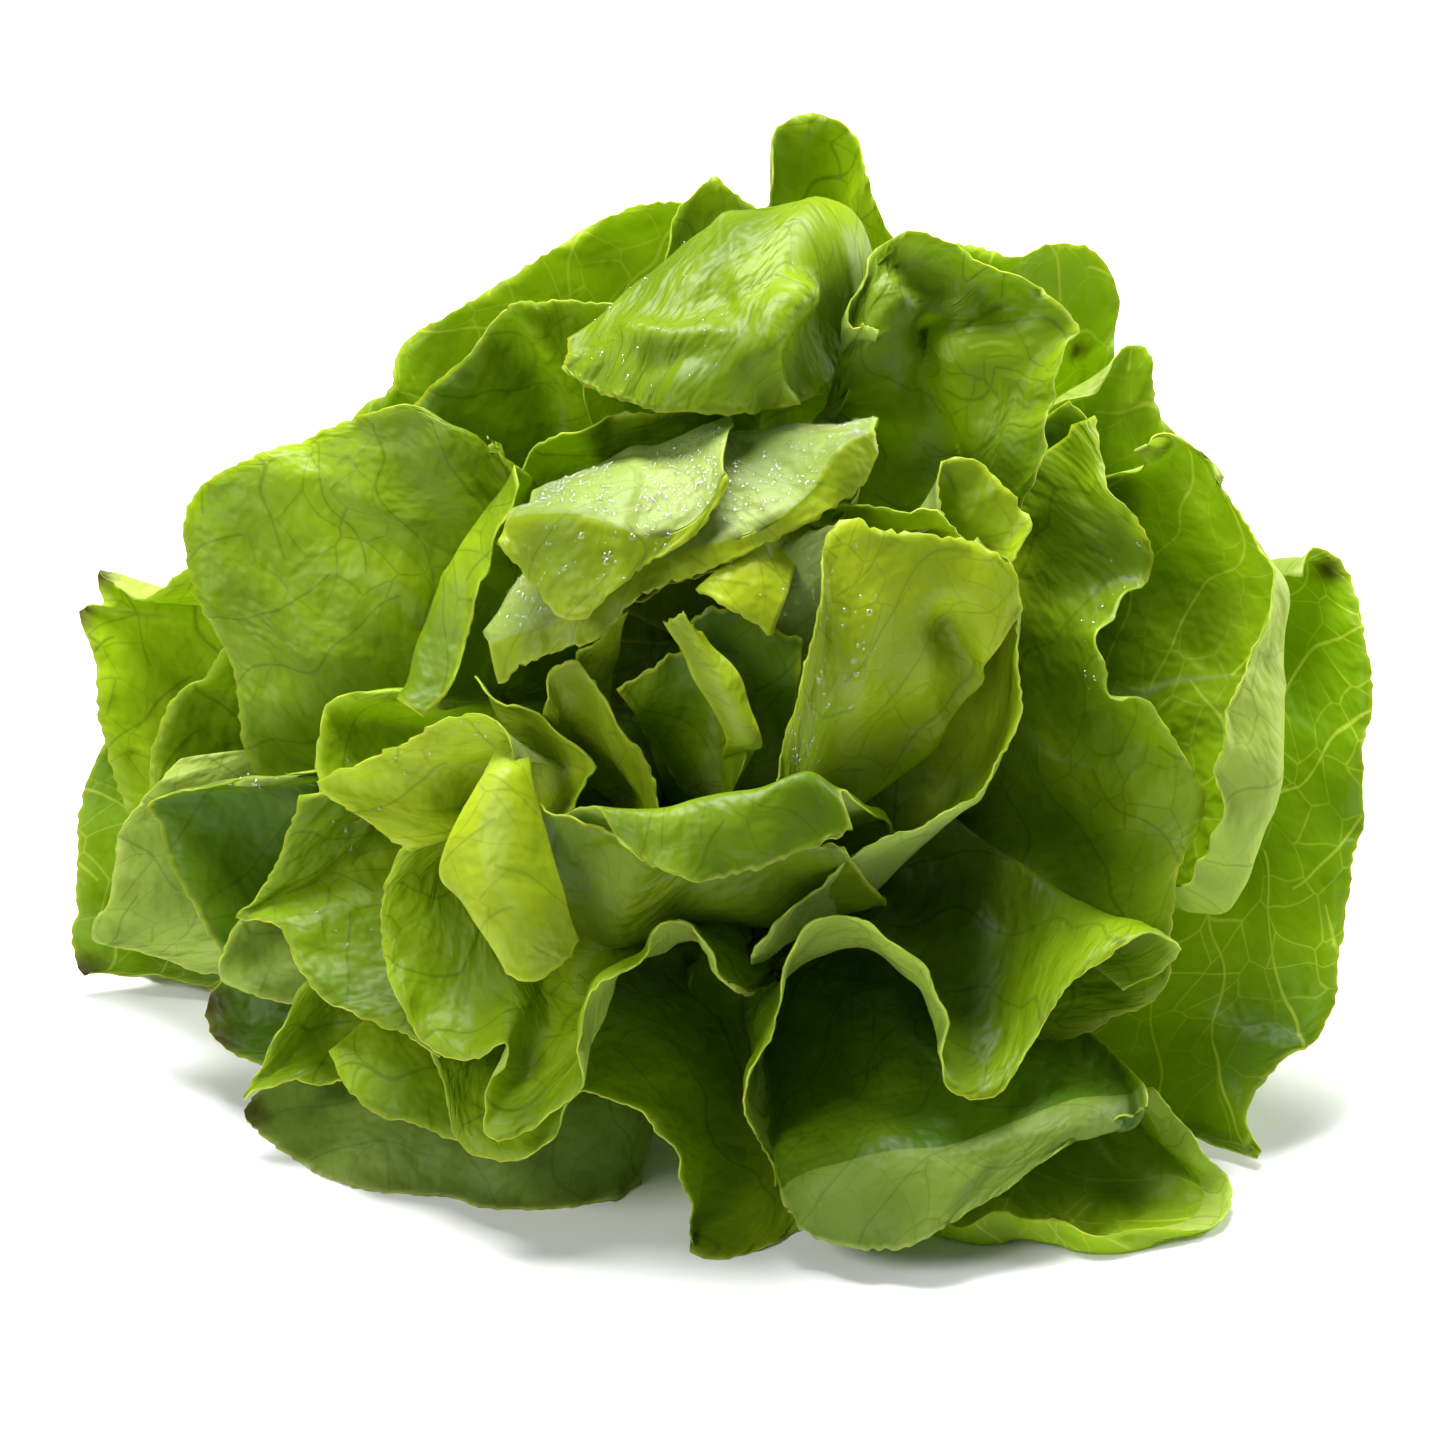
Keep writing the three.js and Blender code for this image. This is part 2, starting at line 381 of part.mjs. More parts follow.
// A closed blade: both faces split alike, and a rim round them.
function bladeGeometry(grid, thickness = BLADE) {
  const normals = gridNormals(grid);
  const [rows, columns] = [grid.length, grid[0].length];
  const positions = [];
  for (const side of [1, -1])
    grid.forEach((row, i) =>
      row.forEach((p, j) => {
        const rib = side < 0 ? ribHeight(i, j, rows, columns) : 0;
        const face = p.clone().addScaledVector(normals[i][j], side * (thickness / 2 + rib));
        positions.push(...liftTo(0, face).toArray());
      }));
  const at = (side, i, j) => side * rows * columns + i * columns + j;
  const faces = [];
  for (let i = 0; i < rows - 1; i++)
    for (let j = 0; j < columns - 1; j++) {
      const corners = [[i, j], [i + 1, j], [i + 1, j + 1], [i, j + 1]];
      const [a, b, c, d] = corners.map(([row, column]) => at(0, row, column));
      const [e, f, g, h] = corners.map(([row, column]) => at(1, row, column));
      faces.push(a, b, c, a, c, d, e, g, f, e, h, g);
    }
  const rim = [];
  for (let j = 0; j < columns - 1; j++) rim.push([0, j]);
  for (let i = 0; i < rows - 1; i++) rim.push([i, columns - 1]);
  for (let j = columns - 1; j > 0; j--) rim.push([rows - 1, j]);
  for (let i = rows - 1; i > 0; i--) rim.push([i, 0]);
  rim.forEach(([i, j], k) => {
    const [m, n] = rim[(k + 1) % rim.length];
    faces.push(at(0, i, j), at(0, m, n), at(1, m, n), at(0, i, j), at(1, m, n), at(1, i, j));
  });
  const geometry = new THREE.BufferGeometry();
  geometry.setAttribute("position", new THREE.Float32BufferAttribute(positions, 3));
  geometry.setIndex(faces);
  return geometry;
}

// Solids

function toSolid(geometry) {
  const bare = new THREE.BufferGeometry();
  bare.setAttribute("position", geometry.getAttribute("position").clone());
  if (geometry.index) bare.setIndex(geometry.index.clone());
  const welded = mergeVertices(bare, 1e-4);
  const mesh = new wasm.Mesh({
    numProp: 3,
    vertProperties: new Float32Array(welded.getAttribute("position").array),
    triVerts: new Uint32Array(welded.index.array),
  });
  return new wasm.Manifold(mesh);
}

function toGeometry(solid) {
  const mesh = solid.getMesh();
  const geometry = new THREE.BufferGeometry();
  geometry.setAttribute("position", new THREE.BufferAttribute(new Float32Array(mesh.vertProperties), 3));
  geometry.setIndex(new THREE.BufferAttribute(new Uint32Array(mesh.triVerts), 1));
  return geometry;
}

// The short stem, cut flat below where the lowest leaves left it. extra grows it on all sides.
function stemSolid(extra = 0) {
  const [radius, neck] = [STEM.radius + extra, STEM.neck + extra];
  const [low, top] = [STEM.low - extra, STEM.top + extra];
  const foot = [[0, low], [radius - 1.5, low], [radius, low + 1.5]];
  const profile = [...foot, [radius, top - 8], [neck, top], [0, top]];
  const lathe = new THREE.LatheGeometry(profile.map(([r, h]) => new THREE.Vector2(r, h)), 24);
  return toSolid(lathe.rotateX(Math.PI / 2));
}

// The dense heart: its leaves fused round a smaller core.
function heartSolid() {
  const cores = HEART_CORES.map(({ middle, radii }) =>
    toSolid(new THREE.SphereGeometry(1, 14, 8).scale(...radii).translate(...middle)));
  const blades = HEART_LEAVES.map((leaf, index) => toSolid(bladeGeometry(bladeRows(leaf, index))));
  return wasm.Manifold.union([...cores, ...blades]);
}

// Bends leaves clear of one another: where two meet, the outer one gives way outwards, the inner one inwards.
function bendClear(grids, fixed) {
  const blade = (grid) => toSolid(bladeGeometry(grid, BLADE + CLEAR.gap));
  for (let pass = 0; pass < CLEAR.passes; pass++) {
    const solids = [...grids.map(blade), ...fixed];
    const pushes = grids.map((grid) => grid.map((row) => row.map(() => new THREE.Vector3())));
    let meetings = 0;
    for (let a = 0; a < grids.length; a++)
      for (let b = a + 1; b < solids.length; b++) {
        const meeting = solids[a].intersect(solids[b]);
        if (meeting.volume() < 1e-4) continue;
        meetings++;
        const where = meeting.getMesh().vertProperties;
        addPush(grids[a], pushes[a], where, -1);
        if (b < grids.length) addPush(grids[b], pushes[b], where, 1);
      }
    if (meetings === 0) return;
    grids.forEach((grid, k) => {
      const push = evened(pushes[k]);
      grid.forEach((row, i) => row.forEach((p, j) => p.add(push[i][j].clampLength(0, CLEAR.step))));
      restOnSurface(grid, LEAVES[k]);
    });
  }
}

// Each push drawn towards its neighbours', so that a leaf bends and doesn't crease.
function evened(push) {
  const last = push.length - 1;
  return push.map((row, i) =>
    row.map((p, j) => {
      const alongRow = [row[j - 1] ?? p, row[j + 1] ?? p];
      const acrossRows = [push[Math.max(i - 1, 0)][j], push[Math.min(i + 1, last)][j]];
      const own = p.clone().multiplyScalar(i === 0 ? 0 : 0.55);
      return [...alongRow, ...acrossRows].reduce((sum, q) => sum.addScaledVector(q, 0.15), own);
    }));
}

// Adds a soft push near the places where a leaf meets another. The leaf's foot stays on the stem.
function addPush(grid, push, where, way) {
  grid.forEach((row, i) =>
    row.forEach((p, j) => {
      let near = Infinity;
      for (let k = 0; k < where.length; k += 3)
        near = Math.min(near, Math.hypot(p.x - where[k], p.y - where[k + 1], p.z - where[k + 2]));
      const weight = Math.max(0, 1 - near / CLEAR.reach) * Math.min(1, i / 2);
      if (weight === 0) return;
      const outward = Math.hypot(p.x, p.y) || 1;
      const inwards = new THREE.Vector3((-0.35 * p.x) / outward, (-0.35 * p.y) / outward, 0.94);
      push[i][j].addScaledVector(inwards, way * weight * CLEAR.step);
    }));
}

// The head

const head = new THREE.Group();
head.rotation.x = Math.PI / 2 - lean;
head.position.set(...HEAD_PLACE);

function addPart(name, geometry, color, roughness) {
  const mesh = new THREE.Mesh(geometry, new THREE.MeshStandardMaterial({ color, roughness, metalness: 0 }));
  mesh.name = name;
  head.add(mesh);
}

const stem = stemSolid();
const heart = heartSolid().subtract(stemSolid(HEART_GAP));
const grids = LEAVES.map((leaf, index) => bladeRows(leaf, index));
grids.forEach((grid, index) => restOnSurface(grid, LEAVES[index]));
bendClear(grids, [heart, stem]);

addPart("stem", toGeometry(stem), 0xd9dfae, 0.6);
addPart("heart", toGeometry(heart), 0x86ab24, 0.5);
LEAVES.forEach((leaf, index) => addPart(leaf.name, bladeGeometry(grids[index], BLADE), 0x6f9a16, 0.5));

const lettuce = new THREE.Group();
lettuce.add(head);
export default lettuce;
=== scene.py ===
# %% [markdown]
# # A butterhead lettuce
# This lesson dresses a lettuce head that lies tipped back on its lower leaves, with its heart towards us.
# The head is a short stem, a dense heart of folded leaves, and 36 loose leaves round it.
# The imported solids give every leaf its place. Here each one is made again as a fine, veined blade.
# We load the solids first.

# %% Load the solids
import bmesh
import bpy
import numpy as np
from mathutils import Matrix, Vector


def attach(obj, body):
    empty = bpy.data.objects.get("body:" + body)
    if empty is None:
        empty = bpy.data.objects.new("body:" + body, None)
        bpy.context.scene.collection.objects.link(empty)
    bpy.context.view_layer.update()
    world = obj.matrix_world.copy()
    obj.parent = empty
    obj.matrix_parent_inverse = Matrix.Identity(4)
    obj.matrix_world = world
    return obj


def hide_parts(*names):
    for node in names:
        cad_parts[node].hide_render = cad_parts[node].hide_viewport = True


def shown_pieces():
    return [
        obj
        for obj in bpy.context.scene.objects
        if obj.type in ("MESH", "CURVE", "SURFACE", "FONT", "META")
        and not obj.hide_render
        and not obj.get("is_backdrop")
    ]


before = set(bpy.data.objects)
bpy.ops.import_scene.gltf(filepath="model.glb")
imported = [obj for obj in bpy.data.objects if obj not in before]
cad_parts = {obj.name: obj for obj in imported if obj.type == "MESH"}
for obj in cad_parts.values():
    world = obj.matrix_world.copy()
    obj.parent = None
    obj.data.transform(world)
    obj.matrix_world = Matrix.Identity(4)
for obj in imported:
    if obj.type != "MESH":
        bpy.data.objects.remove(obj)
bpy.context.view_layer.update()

# %% [markdown]
# ## The head's own frame
# A head of lettuce is easiest to describe round its own axis, so leaf points are written in millimetres as
# (across, up, out): out runs along the axis, from the stem towards the heart's face.
# The whole head then leans back and stands on the floor. One function takes points to Blender's metres,
# and a second one brings points of the solids back.

# %% Head frame
MM = 0.001
HEAD_LEAN = np.radians(30)  # how far the axis rises above the floor
HEAD_PLACE = np.array([3.3, 18.8, 72.0])  # where the heart sits on the stem
HEAD_AXES = np.array([
    [1, 0, 0],
    [0, np.sin(HEAD_LEAN), np.cos(HEAD_LEAN)],
    [0, -np.cos(HEAD_LEAN), np.sin(HEAD_LEAN)],
])
UP_IN_HEAD = HEAD_AXES[:, 2]  # the world's up, seen in the head's frame


def to_world(points):
    return (points @ HEAD_AXES + HEAD_PLACE) * MM


def to_head(points):
    return (points / MM - HEAD_PLACE) @ HEAD_AXES.T


def solid_points(name):
    """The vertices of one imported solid, in the head's frame."""
    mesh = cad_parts[name].data
    flat = np.empty(len(mesh.vertices) * 3)
    mesh.vertices.foreach_get("co", flat)
    return to_head(flat.reshape(-1, 3))


print("stem runs along", np.round(HEAD_AXES[2], 3))

# %% [markdown]
# ## The loose leaves
# Each leaf is a row of points along its outer edge, read off the photograph and given a depth.
# A fold is a row that the blade bends over before it reaches the edge, as in a leaf whose rim turns back.
# azimuth and clasp say where the leaf grows on the stem and how far round it holds, in degrees.
# belly hollows the blade, near the stem and near the edge.
# rest counts the leaves that lie between this one and the floor.

# %% Loose leaves, from the outermost to the innermost
LEAVES = [
    dict(name="leaf_back_left", azimuth=215, clasp=110, belly=(6, 8), rest=0,
         folds=[[(-78, 17, -31), (-94, -2, -39), (-100, -20, -47), (-92, -54, -54),
               (-82, -58, -47), (-66, -61, -42), (-48, -62, -40)]],
         edge=[(-92, 20, -30), (-110, 0, -38), (-117, -20, -46), (-112, -58, -47),
               (-98, -65, -35), (-78, -69, -28), (-56, -70, -26)]),
    dict(name="leaf_back_right", azimuth=-35, clasp=110, belly=(6, 8), rest=0,
         folds=[[(46, -62, -40), (64, -61, -42), (80, -58, -47), (90, -54, -54), (98, -20, -46),
               (92, -2, -38), (78, 16, -30)]],
         edge=[(52, -70, -26), (76, -69, -28), (96, -65, -35), (110, -58, -47), (115, -20, -44),
               (108, 0, -36), (92, 20, -28)]),
    dict(name="leaf_back_top", azimuth=95, clasp=110, belly=(8, 10),
         edge=[(60, 62, -26), (42, 82, -24), (16, 90, -22), (-12, 88, -22), (-40, 76, -24),
               (-60, 58, -26)]),
    dict(name="leaf_left_floor", azimuth=220, clasp=90, belly=(10, 10), rest=1,
         edge=[(-119, -38, -44), (-122, -50, -46), (-117, -56, -44), (-107, -58, -42),
               (-96, -60, -38), (-84, -64, -32)]),
    dict(name="leaf_left_low", azimuth=195, clasp=90, belly=(10, 8),
         edge=[(-118, 4, -22), (-126, -6, -24), (-131, -18, -26), (-132, -30, -30),
               (-133, -42, -34), (-134, -52, -39), (-130, -57, -42), (-118, -58, -40),
               (-102, -59, -36)]),
    dict(name="leaf_top_left_back", azimuth=120, clasp=90, belly=(6, 6),
         edge=[(-2, 98, 2), (-16, 99, 0), (-26, 96, -2), (-38, 89, -3), (-48, 82, -3),
               (-58, 76, -3), (-66, 70, -4), (-69, 62, -4), (-74, 58, -4), (-82, 46, -4)]),
    dict(name="leaf_top_back", azimuth=80, clasp=80, belly=(6, 6),
         edge=[(36, 88, 2), (31, 95, 2), (27, 106, 4), (22, 115, 2), (15, 117, 4), (10, 113, 6),
               (9, 104, 8), (7, 98, 6), (1, 102, 4), (-4, 105, 4), (-9, 98, 6), (-13, 88, 8)]),
    dict(name="leaf_right_outer", azimuth=-15, clasp=100, belly=(14, 10),
         edge=[(84, -88, 8), (97, -92, 14), (104, -93, 18), (102, -82, 18), (107, -75, 16),
               (116, -68, 14), (120, -58, 14), (122, -44, 16), (124, -26, 18), (126, -10, 20),
               (127, 3, 20), (125, 16, 18), (121, 26, 16), (116, 29, 16), (112, 25, 20)]),
    dict(name="leaf_top_right_pale", azimuth=50, clasp=90, belly=(8, 6),
         edge=[(66, 44, 12), (71, 58, 11), (74, 70, 10), (76, 81, 8), (72, 89, 8), (64, 90, 9),
               (57, 88, 10), (50, 90, 9), (42, 90, 8), (34, 90, 8)]),
    dict(name="leaf_right_back", azimuth=20, clasp=80, belly=(8, 6),
         edge=[(110, 14, 2), (105, 32, 0), (98, 44, -2), (93, 50, -2), (87, 56, 0), (78, 62, 2)]),
    dict(name="leaf_left_second", azimuth=178, clasp=90, belly=(8, 8),
         edge=[(-96, 34, -2), (-110, 26, -6), (-120, 20, -9), (-127, 26, -13), (-126, 19, -11),
               (-131, 18, -12), (-128, 8, -11), (-127, -4, -11), (-124, -14, -12),
               (-120, -25, -14), (-108, -36, -15)]),
    dict(name="leaf_left_third", azimuth=190, clasp=80, belly=(6, 6),
         edge=[(-92, 18, 4), (-102, 9, 0), (-105, 4, -2), (-110, 1, -3), (-114, -5, -4),
               (-116, -13, -5), (-115, -22, -6), (-104, -32, -6)]),
    dict(name="leaf_front_left_floor", azimuth=240, clasp=90, belly=(-4, -14), rest=0,
         edge=[(-96, -80, -2), (-97, -86, 3), (-86, -93, 15), (-72, -98, 24), (-56, -100, 27),
               (-46, -102, 31), (-28, -101, 29), (-18, -96, 23)]),
    dict(name="leaf_front_right_floor", azimuth=-60, clasp=90, belly=(12, 12), rest=0,
         folds=[[(32, -100, 29), (42, -105, 36), (54, -106, 38), (68, -107, 40), (80, -106, 38),
               (91, -103, 33), (93, -96, 26), (86, -88, 22), (76, -76, 20)]],
         edge=[(35, -99, 38), (44, -102, 43), (54, -101, 45), (68, -104, 47), (80, -103, 45),
               (95, -104, 39), (99, -97, 32), (93, -89, 28), (83, -77, 26)]),
    dict(name="leaf_left_pale", azimuth=200, clasp=70, belly=(2, -4),
         edge=[(-110, -12, 2), (-117, -20, 4), (-122, -28, 2), (-124, -38, -2), (-128, -48, -8),
               (-116, -51, -4), (-106, -54, 0), (-99, -53, 4)]),
    dict(name="leaf_right_tip", azimuth=38, clasp=70, belly=(8, 6),
         edge=[(86, 36, 8), (88, 50, 7), (86, 62, 6), (85, 70, 6), (82, 72, 6), (79, 70, 7),
               (74, 63, 9), (68, 60, 11), (60, 56, 13)]),
    dict(name="leaf_right_second", azimuth=8, clasp=90, belly=(14, 10),
         folds=[[(83, -37, 20), (91, -41, 23), (98, -41, 27), (103, -30, 30), (106, -12, 31),
               (108, 8, 29), (109, 21, 27), (104, 29, 24), (97, 36, 22), (92, 45, 19),
               (86, 49, 17), (80, 46, 18)]],
         edge=[(82, -34, 27), (90, -36, 34), (95, -27, 40), (95, -14, 43), (98, -2, 43),
               (103, 9, 40), (107, 22, 36), (105, 32, 30), (99, 39, 26), (93, 49, 22),
               (86, 53, 20), (79, 50, 21)]),
    dict(name="leaf_top_left_dark", azimuth=118, clasp=80, belly=(10, 4),
         edge=[(-12, 76, 20), (-26, 79, 17), (-37, 79, 18), (-43, 78, 22), (-48, 73, 14),
               (-56, 66, 6), (-63, 59, 5), (-66, 50, 8)]),
    dict(name="leaf_left_main", azimuth=168, clasp=90, belly=(-4, -14),
         edge=[(-47, 51, 24), (-58, 59, 19), (-72, 57, 14), (-86, 52, 10), (-104, 44, 6),
               (-109, 36, 5), (-107, 22, 7), (-101, 9, 9), (-98, 0, 10), (-95, -9, 11),
               (-88, -17, 13), (-76, -22, 15)]),
    dict(name="leaf_left_cone", azimuth=205, clasp=70, belly=(4, 2),
         edge=[(-78, -14, 17), (-92, -16, 14), (-104, -18, 11), (-116, -20, 8), (-114, -25, 8),
               (-111, -34, 8), (-106, -43, 9), (-100, -52, 10)]),
    dict(name="leaf_left_browned", azimuth=222, clasp=60, belly=(4, 2),
         edge=[(-90, -50, 2), (-101, -56, -2), (-105, -61, -4), (-104, -67, -4),
               (-100, -72, -3), (-93, -75, 0), (-85, -77, 3)]),
    dict(name="leaf_left_tuck", azimuth=215, clasp=60, belly=(4, 2),
         edge=[(-96, -42, 14), (-100, -47, 13), (-102, -54, 12), (-98, -58, 13), (-92, -59, 15),
               (-84, -60, 17)]),
    dict(name="leaf_torn_flap", azimuth=225, clasp=60, belly=(2, -2),
         edge=[(-84, -56, 22), (-89, -66, 20), (-96, -79, 18), (-86, -76, 24), (-77, -74, 28),
               (-67, -71, 30), (-64, -66, 30)]),
    dict(name="leaf_front_left_third", azimuth=235, clasp=60, belly=(4, 2),
         edge=[(-80, -70, 24), (-76, -78, 28), (-69, -82, 32), (-60, -84, 35), (-52, -87, 37),
               (-42, -90, 39)]),
    dict(name="leaf_front_outer", azimuth=252, clasp=80, belly=(14, 8), rest=0,
         edge=[(-68, -60, 22), (-63, -67, 28), (-57, -76, 34), (-54, -86, 38), (-47, -90, 42),
               (-40, -89, 46), (-34, -82, 50), (-28, -76, 52), (-20, -77, 52), (-13, -84, 49),
               (-9, -95, 43), (-7, -103, 41), (-8, -108, 44), (-2, -110, 46), (8, -107, 42),
               (15, -102, 36)]),
    dict(name="leaf_front_lip", azimuth=-62, clasp=80, belly=(14, 10),
         folds=[[(10, -96, 46), (14, -93, 50), (24, -90, 54), (40, -87, 54), (52, -82, 52),
               (63, -79, 48), (74, -77, 42), (80, -75, 36)]],
         edge=[(11, -100, 48), (16, -105, 53), (25, -107, 56), (36, -106, 57), (47, -99, 57),
               (58, -92, 55), (68, -86, 49), (80, -82, 40)]),
    dict(name="leaf_left_curl", azimuth=212, clasp=60, belly=(4, 2),
         edge=[(-85, -19, 24), (-88, -28, 22), (-92, -37, 20), (-98, -43, 17), (-89, -46, 23),
               (-86, -52, 26), (-82, -57, 29), (-75, -61, 32), (-65, -64, 36), (-57, -70, 40)]),
    dict(name="leaf_right_dark", azimuth=42, clasp=60, belly=(12, 4),
         edge=[(64, 12, 30), (67, 27, 26), (70, 40, 24), (71, 47, 23), (70, 53, 23),
               (66, 58, 24)]),
    dict(name="leaf_right_ruffle", azimuth=0, clasp=100, belly=(14, 8),
         edge=[(57, -67, 16), (67, -70, 18), (77, -64, 21), (85, -58, 25), (87, -46, 29),
               (88, -34, 32), (92, -20, 36), (88, -9, 39), (82, -2, 41), (74, 1, 43),
               (72, 7, 44), (73, 13, 42), (77, 19, 36), (83, 25, 30), (83, 31, 30),
               (78, 38, 31), (75, 42, 31), (74, 49, 27), (73, 57, 22)]),
    dict(name="leaf_top_hood", azimuth=97, clasp=100, belly=(8, 2),
         folds=[[(28, 80, 30), (27, 90, 28), (22, 96, 26), (12, 97, 26), (2, 96, 28),
               (-7, 91, 31), (-16, 83, 35), (-24, 76, 39), (-31, 69, 43)], [(28, 71, 36),
               (23, 75, 42), (14, 78, 46), (4, 77, 50), (-3, 74, 52), (-10, 73, 53),
               (-18, 71, 52), (-25, 69, 50), (-32, 67, 47)]],
         edge=[(26, 61, 40), (22, 57, 46), (14, 55, 51), (6, 55, 54), (-2, 55, 56),
               (-10, 55, 57), (-18, 57, 55), (-26, 60, 53), (-33, 65, 49)]),
    dict(name="leaf_top_right_fold", azimuth=56, clasp=84, belly=(8, -4),
         edge=[(56, 34, 42), (60, 50, 40), (62, 60, 38), (66, 69, 36), (68, 74, 34),
               (62, 80, 34), (52, 84, 36), (44, 89, 36), (34, 92, 38), (28, 90, 40),
               (28, 80, 44), (28, 68, 47)]),
    dict(name="leaf_front_right_ruffle", azimuth=-52, clasp=130, belly=(18, 12),
         edge=[(10, -97, 30), (7, -90, 37), (4, -82, 47), (3, -76, 53), (5, -68, 59),
               (8, -58, 63), (11, -48, 65), (15, -42, 65), (20, -40, 63), (26, -42, 61),
               (32, -47, 59), (38, -53, 57), (42, -60, 55), (42, -66, 55), (41, -71, 56),
               (44, -76, 56), (50, -78, 54), (55, -75, 52), (58, -69, 50), (62, -62, 49),
               (68, -55, 48), (75, -50, 47), (82, -47, 44), (88, -49, 39), (85, -55, 34),
               (78, -58, 32)]),
    dict(name="leaf_front_inner", azimuth=235, clasp=130, belly=(16, 4),
         edge=[(-51, -23, 44), (-62, -28, 40), (-66, -36, 38), (-68, -46, 38), (-67, -55, 40),
               (-63, -63, 43), (-56, -69, 47), (-50, -68, 50), (-45, -66, 53), (-43, -68, 54),
               (-46, -74, 53), (-48, -80, 52), (-48, -85, 52), (-44, -86, 54), (-37, -81, 56),
               (-32, -77, 58), (-28, -70, 60), (-29, -62, 61), (-26, -55, 62), (-18, -50, 63),
               (-16, -44, 63), (-12, -40, 63), (-6, -40, 63), (-3, -45, 63), (-2, -50, 63),
               (3, -53, 62), (9, -51, 60)]),
    dict(name="leaf_left_tip", azimuth=188, clasp=84, belly=(3, 1),
         edge=[(-54, -2, 44), (-61, 1, 46), (-68, 1, 43), (-75, 0, 43), (-80, -9, 40),
               (-81, -18, 40)]),
    dict(name="leaf_top_inner", azimuth=110, clasp=70, belly=(12, 8),
         edge=[(6, 57, 36), (-8, 56, 37), (-20, 54, 38), (-28, 51, 39), (-34, 48, 39),
               (-38, 40, 37)]),
    dict(name="leaf_left_roll", azimuth=155, clasp=70, belly=(12, 6),
         folds=[[(-40, 44, 40), (-48, 35, 40), (-57, 23, 39), (-64, 9, 38), (-66, 0, 37)]],
         edge=[(-41, 41, 47), (-46, 29, 48), (-51, 16, 47), (-56, 4, 46), (-61, -4, 44)]),
]

print("loose leaves:", len(LEAVES))

# %% [markdown]
# ## The heart's leaves
# These are written in the same way, but each grows from a point inside the heart, as wide there as base.

